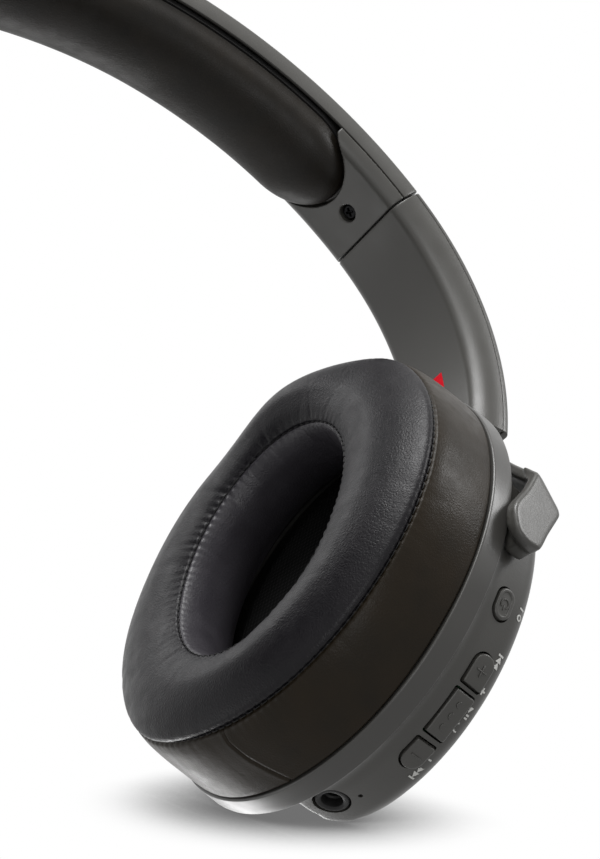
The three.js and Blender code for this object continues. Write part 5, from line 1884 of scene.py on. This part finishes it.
    def relief(self, distance: Points, run: Points, length: float, t: Points, seed: int, pull: float) -> Points:
        """Height of the leather near a seam: the groove, a dip at each stitch and gathers that fade out.

        Args:
            distance: Distance of each row from the seam.
            run: Length run along the seam at each angle.
            length: The seam's whole length.
            t: Angles.
            seed: Seed of the uneven gathers.
            pull: Strength of the gathers.

        Returns:
            Heights, rows x angles, in mm.
        """
        rng = np.random.default_rng(seed)
        stitches = round(length / self.pitch)
        phase = run / length * stitches * 2 * np.pi
        uneven = sum(rng.uniform(0.3, 1) * np.cos(k * t + rng.uniform(0, 6.28)) for k in range(2, 11)) / 3
        gather = np.clip(0.55 + 0.5 * uneven, 0.12, 1.3)
        far = np.abs(distance)[:, None]
        groove = -self.groove * np.exp(-((far / 0.3) ** 2))
        dip = -self.dip * np.exp(-((far / 0.5) ** 2)) * (0.5 + 0.5 * np.cos(phase))[None]
        flute = self.flute * pull * np.exp(-far / 1.0) * (1 - np.exp(-((far / 0.35) ** 2)))
        flutes = -flute * np.cos(phase + 0.6 * np.sin(5 * t))[None] * gather[None]
        folds = np.zeros((len(distance), len(t)))
        for _ in range(self.folds):
            centre, wide = rng.uniform(0, 2 * np.pi), rng.uniform(0.014, 0.032)
            long, deep, skew = rng.uniform(2.0, 5.5), rng.uniform(0.05, 0.19) * pull, rng.uniform(-0.012, 0.012)
            away = np.angle(np.exp(1j * (t[None] - centre - skew * far)))
            folds -= deep * np.exp(-((away / wide) ** 2)) * np.exp(-far / long) * (1 - np.exp(-((far / 0.6) ** 2)))
        return groove + dip + flutes + folds

    def surface(self) -> tuple[Points, list[int], Points, dict[str, Points]]:
        """The pad's dense surface in the cup's axes.

        Returns:
            Rings x angles x 3, the first row of each stretch, the angles, and the seams' points.
        """
        t = self.angles()
        flank_c, crown_c, wall_c = self.controls(t)
        under, _, _ = self.resampled(flank_c[:4], 0.5, 3.0)
        flank, fs, fl = self.resampled(flank_c[3:], 0.16, 0.55)
        crown, cs, cl = self.resampled(crown_c, 0.12, 0.5)
        wall, ws, wl = self.resampled(wall_c, 0.14, 0.7)
        rows = np.concatenate([under[:-1], flank[:-1], crown[:-1], wall])
        starts = [len(under) - 1, len(under) + len(flank) - 2, len(under) + len(flank) + len(crown) - 3]
        grid = np.stack([rows[..., 0], rows[..., 1] * np.cos(t), rows[..., 2] * np.sin(t)], -1)
        outer, outer_run, outer_length = self.seam_line(self.seam, t)
        inner, inner_run, inner_length = self.seam_line(self.mouth, t)
        far = 1e3
        from_outer = np.concatenate([np.full(len(under) - 1, far), (1 - fs[:-1]) * fl, cs[:-1] * cl,
                                     np.full(len(wall), far)])
        from_inner = np.concatenate([np.full(len(under) + len(flank) - 2, far), (1 - cs[:-1]) * cl, ws * wl])
        height = self.relief(from_outer, outer_run, outer_length, t, 3, 0.45)
        height += self.relief(from_inner, inner_run, inner_length, t, 8, 1.3)
        rng = np.random.default_rng(21)
        depth = np.linspace(0, 1, len(rows))[:, None]
        for k in range(1, 9):
            a, b, c = rng.uniform(0, 6.28, 3)
            height += 0.05 * np.sin(k * t[None] + a + 2 * np.sin(depth * 5 + b)) * np.sin(depth * (3 + k) + c)
        line = np.interp(grid[:, 0, 0], *np.array(self.cross_seam).T)
        off = np.angle(np.exp(1j * (t[None] - np.radians(line)[:, None]))) * 43
        on_flank = np.zeros(len(rows))
        on_flank[starts[0] : starts[1]] = 1
        height += (-0.34 * np.exp(-((off / 0.28) ** 2)) + 0.1 * np.exp(-((off / 1.6) ** 2))) * on_flank[:, None]
        along = np.roll(grid, -1, 1) - np.roll(grid, 1, 1)
        up = np.roll(grid, -1, 0) - np.roll(grid, 1, 0)
        normal = np.cross(along, up)
        normal /= np.maximum(np.linalg.norm(normal, axis=-1, keepdims=True), 1e-9)
        middle = np.array([8.0, 0, 0])
        probe = starts[1] + 20
        if ((grid[probe, 0] - middle) * normal[probe, 0])[0] < 0:
            normal = -normal
        fade = np.ones(len(rows))
        fade[: starts[0]] = 0
        fade[-6:] = np.linspace(1, 0, 6)
        grid = grid + normal * (height * fade[:, None])[..., None]
        seams = {"outer": outer, "outer_up": normal[starts[1]], "inner": inner, "inner_up": normal[starts[2]]}
        return grid, starts, t, seams

    def build(self, stitcher: SeamStitches) -> None:
        """Builds and hands in the pad and its stitches.

        Args:
            stitcher: Rule that lays the stitches.
        """
        body, label = f"cup_{self.side.label}", self.side.label
        grid, starts, t, seams = self.surface()
        shape = self.side.turn(PLACE.cup(grid.reshape(-1, 3))).reshape(grid.shape)
        pad = skin(f"earpad_{label}", shape, loop=True, crease=75)
        for finish in (PAD_FLANK, PAD_FACE, PAD_WALL_PAINTED_LIGHT):
            pad.data.materials.append(finish.material())
        rows = np.repeat(np.arange(len(grid)), len(t))
        assert len(pad.data.polygons) == len(rows), "the pad's rows and faces differ"
        which = (rows >= starts[1]).astype(np.int32) + (rows >= starts[2])
        pad.data.polygons.foreach_set("material_index", which.astype(np.int32))
        hand_in(pad, body, "leatherette", f"ear_pad_{label}")
        mesh = bpy.data.meshes.new("seams")
        verts, edges, ups = [], [], []
        for name, sink in self.sunk.items():
            line, up = seams[name], seams[f"{name}_up"]
            first = len(verts)
            placed = self.side.turn(PLACE.cup(line - up * sink))
            tip = self.side.turn(PLACE.cup(line - up * sink + up)) - placed
            verts += (placed * MM).tolist()
            ups += tip.tolist()
            edges += [[first + i, first + (i + 1) % len(line)] for i in range(len(line))]
        mesh.from_pydata(verts, edges, [])
        up = mesh.attributes.new("up", "FLOAT_VECTOR", "POINT")
        up.data.foreach_set("vector", np.array(ups, np.float32).ravel())
        thread = bpy.data.objects.new(f"earpad_stitches_{label}", mesh)
        bpy.context.scene.collection.objects.link(thread)
        stitcher.run(thread, Pitch=self.pitch * MM, Stitch_Length=self.stitch * MM, Thread_Radius=self.thread * MM,
                     Rise=self.rise * MM, Material=THREAD.material())
        thread.data.shade_smooth()
        hand_in(thread, body, "leatherette")


# ---------------------------------------------------------------- ear cup


@dataclass
class EarCup:
    """Trim ring, housing, outer cover, cloth and, on the right, the controls and the socket."""

    side: Side
    cover: tuple[float, float] = (27.0, 30.5)
    cover_face: float = 19.6
    jack_angle: float = -88.2
    jack_depth: float = 9.3
    jack_body: float = 3.1
    jack_bore: float = 1.85
    mic_angle: float = -81.0
    mic_depth: float = 11.4
    cloth_half: tuple[float, float] = (26.0, 31.5)

    @property
    def body(self) -> str:
        """Body that the cup's pieces ride on."""
        return f"cup_{self.side.label}"

    def place(self, p: Points) -> Points:
        """From the cup's own axes to the row frame, on this side."""
        return self.side.turn(PLACE.cup(p))

    def ring(self, lathe: OvalLathe) -> Piece:
        """Trim ring with soft edges.

        Args:
            lathe: Rule that turns it.

        Returns:
            The ring.
        """
        back, front, rear = -OVAL.ring_depth, 0.42, 0.35
        profile = [OVAL.inside(-front + front * math.cos(t), front - front * math.sin(t))
                   for t in np.linspace(0, math.pi / 2, 8)]
        profile += [OVAL.inside(back * k, -OVAL.flare * k) for k in (0.4, 0.7)]
        profile += [OVAL.inside(back + rear - rear * math.sin(t), rear - OVAL.flare - rear * math.cos(t))
                    for t in np.linspace(0, math.pi / 2, 7)]
        profile += [OVAL.inside(back, OVAL.ring_wall), OVAL.inside(0, OVAL.ring_wall), OVAL.inside(0, 4.0)]
        return lathe.turn(f"cup_ring_{self.side.label}", profile, 288, True, SATIN_RING, self.place)

    def outer_cover(self, lathe: OvalLathe) -> Piece:
        """Outer cover with a shallow dome and a soft edge.

        Args:
            lathe: Rule that turns it.

        Returns:
            The cover.
        """
        w, h = self.cover
        back = -OVAL.depth - OVAL.round_ * math.cos(OVAL.round_end)
        edge = [(back - 0.1, 0.0), (back - 0.35, 0.08), (back - 0.6, 0.3), (back - 0.85, 0.7), (back - 1.15, 1.3),
                (back - 1.5, 2.2), (-self.cover_face + 0.1, 3.4), (-self.cover_face + 0.02, 4.6),
                (-self.cover_face, 6.5)]
        profile = [(back + OVAL.wall, 0.001, 0.001), (back + OVAL.wall, w, h)]
        profile += [(x, w - d, h - d) for x, d in edge]
        profile += [(-self.cover_face, w * k, h * k) for k in (0.5, 0.25)] + [(-self.cover_face, 0.001, 0.001)]
        return lathe.turn(f"cup_cover_{self.side.label}", profile, 192, False, SOFT_TOUCH,
                          lambda p: self.place(OVAL.leaned(p)))

    def back_edge(self) -> list[tuple[float, float]]:
        """Rounded back edge as (depth, inward) offsets."""
        curve = arc(0, 0, OVAL.round_, 90, math.degrees(OVAL.round_end), 9)
        return [(-OVAL.depth - a, OVAL.round_ - b) for a, b in curve]

    def panel(self, offset: float) -> Piece:
        """Raised wall that carries the keys, in the cup's axes.

        Args:
            offset: How far inside its outer face.

        Returns:
            A closed body.
        """
        start, wall_end = -OVAL.ring_depth - 0.3, OVAL.step + OVAL.taper
        round_ = [OVAL.inside(x + offset * (-x - OVAL.depth) / OVAL.round_, wall_end + d + offset)
                  for x, d in self.back_edge()]
        if offset > 0:
            front = [(1, 0, 0), OVAL.inside(1, OVAL.step + offset)]
        else:
            hollow = [OVAL.inside(start - 2.4 + 2.4 * math.sin(t), OVAL.step - 1.5 * (1 - math.cos(t)))
                      for t in np.linspace(math.pi / 2, 0, 9)]
            front = [(start, 0, 0), *hollow]
        solid = OVAL.turned("panel",
                            [*front, OVAL.inside(-8.5, OVAL.step + offset), *round_, (round_[-1][0], 0, 0)], 180)
        moved(solid, OVAL.leaned)
        top = OVAL.panel_top - offset
        sector = prism("sector",
                       [[offset, top], [70, top], [70, -60], [offset - OVAL.end_slope * 60, -60], [offset, 0]],
                       "x", -30, 8)
        corner = np.array([[-11.5, -60], [-11.5, -5], [-13.5, -4], [-15, -2.4], [-16, -0.4], [-17, 2.6], [-18, 7],
                           [-30, 14], [-30, -60]]) + offset
        boolean(solid, "INTERSECT", sector)
        return boolean(solid, "DIFFERENCE", prism("corner", corner, "z", -60, -20))

    def neck(self, offset: float) -> Piece:
        """Round body inside the fork, in the cup's axes.

        Args:
            offset: How far inside its outer face.

        Returns:
            A closed body.
        """
        r = OVAL.neck - offset
        start = 1 if offset > 0 else -OVAL.ring_depth - 0.3
        rounds = [(x + offset * (-x - OVAL.depth) / OVAL.round_, r - d, r - d) for x, d in self.back_edge()]
        solid = OVAL.turned("neck", [(start, 0, 0), (start, r, r), (-8, r, r), *rounds, (rounds[-1][0], 0, 0)], 160)
        return moved(solid, OVAL.leaned)

    def housing(self) -> Piece:
        """Back housing: neck and panel, hollow, with the cover's opening and the holes in its wall.

        Returns:
            The housing in the row frame.
        """
        shell = boolean(self.panel(0), "UNION", self.neck(0))
        w, h = self.cover[0] + 0.3, self.cover[1] + 0.3
        opening = OVAL.turned("opening", [(-25, 0, 0), (-25, w, h), (-10, w, h), (-10, 0, 0)])
        shell = boolean(shell, "DIFFERENCE", self.panel(OVAL.wall), self.neck(OVAL.wall), opening)
        moulded(shell, 0.42, 4)
        moved(shell, PLACE.cup)
        if self.side is Side.RIGHT:
            bores = [self.bore("bore", self.jack_angle, self.jack_depth, self.jack_body + 0.3, -13.5),
                     self.bore("mic", self.mic_angle, self.mic_depth, 0.42, -6)]
            cutters = joined("holes", [key.hole() for key in KEYS] + bores)
            boolean(shell, "DIFFERENCE", cutters)
            shell.data.shade_smooth()
            shell.data.set_sharp_from_angle(angle=math.radians(50))
        shell.name = f"cup_housing_{self.side.label}"
        return moved(shell, self.side.turn)

    def bore(self, name: str, angle: float, depth: float, radius: float, low: float) -> Piece:
        """A round cutter that stands on the wall, in the row frame."""
        return moved(rod(name, radius, low, 4), lambda p: PLACE.cup(OVAL.on_wall(angle, depth, p)))

    def socket_part(self, name: str, profile: Sequence[tuple[float, float]], sides: int,
                    loop: bool = False) -> Piece:
        """A profile turned about the socket's axis, in the row frame.

        Args:
            name: Name of the piece.
            profile: Points (radius, height over the wall).
            sides: Steps round it.
            loop: True where the profile is closed.

        Returns:
            The piece.
        """
        t = np.arange(sides) / sides * 2 * math.pi
        rings = [at_height(np.column_stack([r * np.cos(t), r * np.sin(t)]), z) for r, z in profile]
        return moved(skin(name, np.array(rings), loop=loop),
                     lambda p: PLACE.cup(OVAL.on_wall(self.jack_angle, self.jack_depth, p)))

    def jack(self) -> Piece:
        """Socket with a rounded lip and a stepped bore.

        Returns:
            The socket in the row frame.
        """
        body, bore = self.jack_body, self.jack_bore
        return self.socket_part("jack_lip", [
            (0.001, -13), (body, -13), (body, -0.75), (body - 0.06, -0.5), (body - 0.25, -0.32), (body - 0.5, -0.3),
            (bore + 0.45, -0.34), (bore + 0.15, -0.5), (bore, -0.9), (bore, -2.2), (bore - 0.25, -2.5),
            (bore - 0.25, -11.4), (0.001, -11.5)], 64)

    def contact(self) -> Piece:
        """Sprung contact sleeve inside the socket, a bright glint in its bore.

        Returns:
            The sleeve in the row frame.
        """
        r = self.jack_bore - 0.27
        return self.socket_part("jack_contact",
                                [(r, -3.2), (r - 0.12, -3.05), (r - 0.3, -3.2), (r - 0.3, -4.6), (r, -4.6)],
                                48, loop=True)

    def cloth(self) -> Piece:
        """Cloth stretched over the driver, a little domed.

        Returns:
            The cloth, a thin closed sheet.
        """
        w, h = self.cloth_half
        shares = np.linspace(0.0005, 1, 26)
        front = [(-1.35 + 0.35 * (1 - k * k), w * k, h * k) for k in shares]
        back = [(x - 0.25, a, b) for x, a, b in reversed(front)]
        piece = OVAL.turned(f"cup_cloth_{self.side.label}", [*front, *back], 96)
        return moved(piece, self.place)

    def build(self, lathe: OvalLathe) -> None:
        """Builds and hands in the cup's pieces.

        Args:
            lathe: Rule that turns the ring and the cover.
        """
        label = self.side.label
        hand_in(self.ring(lathe), self.body, "satin_ring", f"trim_ring_{label}")
        hand_in(self.outer_cover(lathe), self.body, "housing_plastic", f"outer_cap_{label}")
        housing = hand_in(self.housing(), self.body, "housing_plastic", f"back_housing_{label}", finish=SOFT_TOUCH)
        cloth = hand_in(self.cloth(), self.body, "cloth", f"dust_cloth_{label}", finish=SPEAKER_CLOTH)
        if self.side is Side.RIGHT:
            for key in KEYS:
                hand_in(key.body(), key.name.replace("button", "key"), "housing_plastic", key.name,
                        finish=SOFT_TOUCH)
            hand_in(self.jack(), self.body, "dark_plastic", "jack_socket_right", finish=DARK_NYLON)
            hand_in(self.contact(), self.body, "dark_plastic", finish=SPRING_STEEL)
            hand_in(PrintedMarks().build(housing), self.body, "housing_plastic", finish=WHITE_INK)


@dataclass
class PrintedMarks:
    """Generic transport marks printed on the panel beside the keys."""

    size: float = 1.3
    stroke: float = 0.34
    lift: float = 0.1

    def bar(self, a: float, b: float, along: float, across: float) -> Outline:
        """A rectangle about a point: a is depthwise and b along the rim."""
        u, v = across / 2, along / 2
        return [[a - u, b - v], [a + u, b - v], [a + u, b + v], [a - u, b + v]]

    def arrow(self, b: float, way: int) -> Outline:
        """A solid triangle that points up (1) or down (-1) the rim."""
        h = self.size * 0.44
        return [[-self.size / 2, b - way * h], [self.size / 2, b - way * h], [0, b + way * h]]

    def bow(self, radius: float, start: float, end: float, b: float = 0.0) -> list[Outline]:
        """A stroke along an arc, as quads."""
        outer, inner = arc(0, b, radius, start, end, 14), arc(0, b, radius - self.stroke * 0.8, start, end, 14)
        return [[outer[i], outer[i + 1], inner[i + 1], inner[i]] for i in range(14)]

    def shapes(self) -> list[tuple[float, float, list[Outline]]]:
        """Marks as (angle on the rim, depth, polygons about that point).

        Returns:
            One entry for each mark.
        """
        s, w = self.size, self.stroke
        return [
            (-20.0, 14.7, [self.bar(0, 1.5, w, s * 0.9), *self.bow(0.62, 0, 360, -0.2)]),
            (-32.9, 14.5, [self.bar(0, 1.35, w, s), self.arrow(0.6, 1), self.arrow(-0.55, 1)]),
            (-40.6, 14.75, [self.bar(0, 0, w, s), self.bar(0, 0, s, w)]),
            (-47.1, 14.7, [self.arrow(0.75, -1), self.bar(0, -0.25, w, s), self.bar(0, -0.85, w, s)]),
            (-51.2, 14.9, self.bow(0.95, 110, 290)),
            (-61.7, 14.7, [self.bar(0, 0, w, s)]),
            (-66.2, 14.9, [self.arrow(0.55, -1), self.arrow(-0.6, -1), self.bar(0, -1.35, w, s)]),
        ]

    def build(self, housing: Piece) -> Piece:
        """Lays the marks on the housing's face.

        Args:
            housing: The dressed housing in the row frame.

        Returns:
            The marks as one thin mesh.
        """
        tree = BVHTree.FromPolygons([v.co for v in housing.data.vertices],
                                    [p.vertices[:] for p in housing.data.polygons])

        def laid(angle: float, depth: float, flat: Points, layer: float) -> Points:
            """Points drawn flat, dropped on the wall at a height over it."""
            high = at_height(flat, 5.0)
            start = PLACE.cup(OVAL.on_wall(angle, depth, high))
            goal = PLACE.cup(OVAL.on_wall(angle, depth, high * [1, 1, -1]))
            out = []
            for p, q in zip(start, goal):
                way = Vector(q - p).normalized()
                hit = tree.ray_cast(Vector(p * MM), way)[0]
                assert hit, f"mark at {angle} misses the wall"
                out.append(np.array(hit) / MM - np.array(way) * layer)
            return np.array(out)

        verts, faces = [], []
        for angle, depth, polygons in self.shapes():
            for polygon in polygons:
                corners = np.array(polygon, float)
                edge = np.concatenate([corners + (np.roll(corners, -1, axis=0) - corners) * k
                                       for k in (0, 0.25, 0.5, 0.75)])
                edge = edge.reshape(4, -1, 2).transpose(1, 0, 2).reshape(-1, 2)
                middle, n, base = corners.mean(axis=0), len(edge), sum(map(len, verts))
                rings = [edge, middle + (edge - middle) * 0.5]
                top = np.concatenate([*rings, middle[None]])
                verts += [laid(angle, depth, top, self.lift), laid(angle, depth, edge, -0.1)]
                under = base + 2 * n + 1
                for i in range(n):
                    j = (i + 1) % n
                    faces += [[base + i, base + j, base + n + j, base + n + i],
                              [base + n + i, base + n + j, base + 2 * n],
                              [base + j, base + i, under + i, under + j]]
                faces.append([under + i for i in reversed(range(n))])
        return mesh_object("panel_marks", np.concatenate(verts), faces)


# ---------------------------------------------------------------- studio


@dataclass
class Studio:
    """Camera at the photograph's viewing angle, soft lamps and a pale floor under the lower cup."""

    eye: tuple[float, float, float] = (80.508, 247.315, -214.383)
    right: tuple[float, float, float] = (-0.82674, 0.55025, 0.11712)
    up: tuple[float, float, float] = (0.44690, 0.51589, 0.73085)
    back: tuple[float, float, float] = (0.34173, 0.65657, -0.67241)
    lens: float = 113.77
    target: tuple[float, float, float] = (-56.7, 5.0, 20.0)
    ambient: float = 0.3
    lamp_distance: float = 0.7
    shadow_reach: float = 0.024
    # Reach of the floor's painted contact shadow, in metres.
    floor_half: float = 1.6
    floor_steps: int = 24
    lamps: Sequence[tuple[str, tuple[float, float, float], float, float]] = (
        ("top_softbox", (-0.04, 0.97, 0.02), 0.46, 13.0),
        ("right_softbox", (0.85, 0.5, -0.12), 0.24, 13.0),
        ("left_back_card", (-0.62, 0.6, -0.5), 0.3, 2.5),
        ("low_back_card", (-0.3, -0.72, -0.6), 0.3, 6.0),
        ("left_low_card", (-0.86, -0.42, 0.2), 0.3, 1.6),
        ("front_card", (0.12, 0.05, 1.0), 0.3, 4.0),
        ("top_front_card", (-0.1, 0.75, 0.6), 0.3, 3.5),
    )

    def camera(self) -> None:
        """Sets the camera."""
        data = bpy.data.cameras.new("camera")
        data.lens, data.sensor_width, data.sensor_fit = self.lens, 36, "HORIZONTAL"
        data.clip_start, data.clip_end = 0.01, 20
        made = bpy.data.objects.new("camera", data)
        axes = [Vector(v) for v in (self.right, self.up, self.back)]
        made.matrix_world = Matrix.Translation(Vector(self.eye) * MM) @ Matrix(axes).transposed().to_4x4()
        bpy.context.scene.collection.objects.link(made)
        bpy.context.scene.camera = made

    def light(self) -> None:
        """Adds the lamps, given along the camera's axes from the target."""
        for name, way, size, radiance in self.lamps:
            data = bpy.data.lights.new(name, "AREA")
            data.shape, data.size = "DISK", size
            data.energy = radiance * math.pi * math.pi * (size / 2) ** 2
            made = bpy.data.objects.new(name, data)
            axes = np.array([self.right, self.up, self.back])
            direction = np.array(way) @ axes
            direction /= np.linalg.norm(direction)
            spot = Vector(np.array(self.target) * MM + direction * self.lamp_distance)
            facing = Vector(direction).to_track_quat("Z", "Y").to_matrix().to_4x4()
            made.matrix_world = Matrix.Translation(spot) @ facing
            bpy.context.scene.collection.objects.link(made)

    def white_seen(self, tree: Tree) -> Socket:
        """One where the camera, a reflection or glass sees the surface.

        Args:
            tree: A shader tree.

        Returns:
            The mask.
        """
        path = add(tree, "ShaderNodeLightPath")
        first = add(tree, "ShaderNodeMath", {0: path.outputs["Is Camera Ray"], 1: path.outputs["Is Glossy Ray"]},
                    operation="ADD")
        both = add(tree, "ShaderNodeMath", {0: first.outputs[0], 1: path.outputs["Is Transmission Ray"]},
                   operation="ADD",
                   use_clamp=True)
        return both.outputs[0]

    def world(self) -> None:
        """A plain white surrounding that lights evenly and is seen as white."""
        made = bpy.data.worlds.new("studio_white")
        bpy.context.scene.world = made
        made.use_nodes = True
        tree = made.node_tree
        strength = add(tree, "ShaderNodeMapRange",
                       {"Value": self.white_seen(tree), "To Min": self.ambient, "To Max": 1.0})
        background = tree.nodes["Background"]
        background.inputs["Color"].default_value = (1, 1, 1, 1)
        tree.links.new(strength.outputs[0], background.inputs["Strength"])

    def floor(self) -> None:
        """Pale floor across the photograph's upright, under the lowest point of the headset in it."""
        up = np.array(self.up)
        low = min(float((np.array([v.co for v in piece.data.vertices]) @ up).min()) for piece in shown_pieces()
                  if piece.type == "MESH"
                  and piece.name.startswith(("earpad_right", "cup_ring_right", "cup_housing_right")))
        centre = Vector(np.array(self.target) * MM)
        centre += Vector(up) * (low - centre.dot(Vector(up)) - 0.0002)
        steps = self.floor_steps
        grid = np.linspace(-self.floor_half, self.floor_half, steps + 1)
        a, b = np.array(self.right), np.array(self.back)
        verts = [np.array(centre) + a * u + b * v for v in grid for u in grid]
        faces = [[j * (steps + 1) + i, j * (steps + 1) + i + 1, (j + 1) * (steps + 1) + i + 1,
                  (j + 1) * (steps + 1) + i]
                 for j in range(steps) for i in range(steps)]
        mesh = bpy.data.meshes.new("floor")
        mesh.from_pydata([v.tolist() for v in verts], [], faces)
        made = bpy.data.objects.new("floor", mesh)
        if mesh.polygons[0].normal.dot(Vector(self.up)) < 0:
            mesh.flip_normals()
        material = bpy.data.materials.new("white_floor_painted_shadow")
        material.use_nodes = True
        tree = material.node_tree
        tree.nodes.clear()
        # Painted shadow: the floor's white glow dims by ambient occlusion near the headset, a contact shadow that no
        # lamp casts.
        contact = add(tree, "ShaderNodeAmbientOcclusion", {"Distance": self.shadow_reach}, samples=24)
        painted_shadow = add(tree, "ShaderNodeMapRange", {"Value": contact.outputs["AO"], "From Min": 0.12, "From Max": 0.82,
                                               "To Min": 0.16, "To Max": 1.0}, interpolation_type="SMOOTHSTEP")
        seen = add(tree, "ShaderNodeEmission", {"Color": (1, 1, 1, 1), "Strength": painted_shadow.outputs[0]})
        behind = add(tree, "ShaderNodeBsdfTransparent")
        side = add(tree, "ShaderNodeMixShader", {0: add(tree, "ShaderNodeNewGeometry").outputs["Backfacing"],
                                                 1: seen.outputs[0], 2: behind.outputs[0]})
        add(tree, "ShaderNodeOutputMaterial", {"Surface": side.outputs[0]})
        mesh.materials.append(material)
        bpy.context.scene.collection.objects.link(made)
        for flag in ("visible_diffuse", "visible_glossy", "visible_transmission", "visible_shadow"):
            setattr(made, flag, False)
        made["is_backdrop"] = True

    def build(self) -> None:
        """Sets the camera, the lamps, the white surrounding and the floor."""
        self.camera()
        self.light()
        self.world()
        self.floor()
        bpy.context.scene.view_settings.view_transform = "Standard"


def dress_kept_nodes(nodes: dict[str, Piece]) -> None:
    """Gives every CAD node that stays its finish.

    Args:
        nodes: The frame's nodes by name.
    """
    for name, node in nodes.items():
        plain = name.removesuffix("_right").removesuffix("_left")
        finish = KEPT_NODES.get(plain, DARK_NYLON)
        for slot in node.material_slots:
            slot.material = finish.material()


def main() -> None:
    """Builds the headset's looks in order."""
    logging.basicConfig(level=logging.INFO, format="%(message)s")
    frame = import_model()
    dress_kept_nodes(frame["nodes"])
    lathe, stitcher = OvalLathe(), SeamStitches()
    BANDHEAD.build()
    for side in Side:
        Arm(side).build()
        Fork(side).build()
        EarCup(side).build(lathe)
        EarPad(side).build(stitcher)
    Studio().build()
    LOG.info("sizes written")


if __name__ == "__main__":
    main()
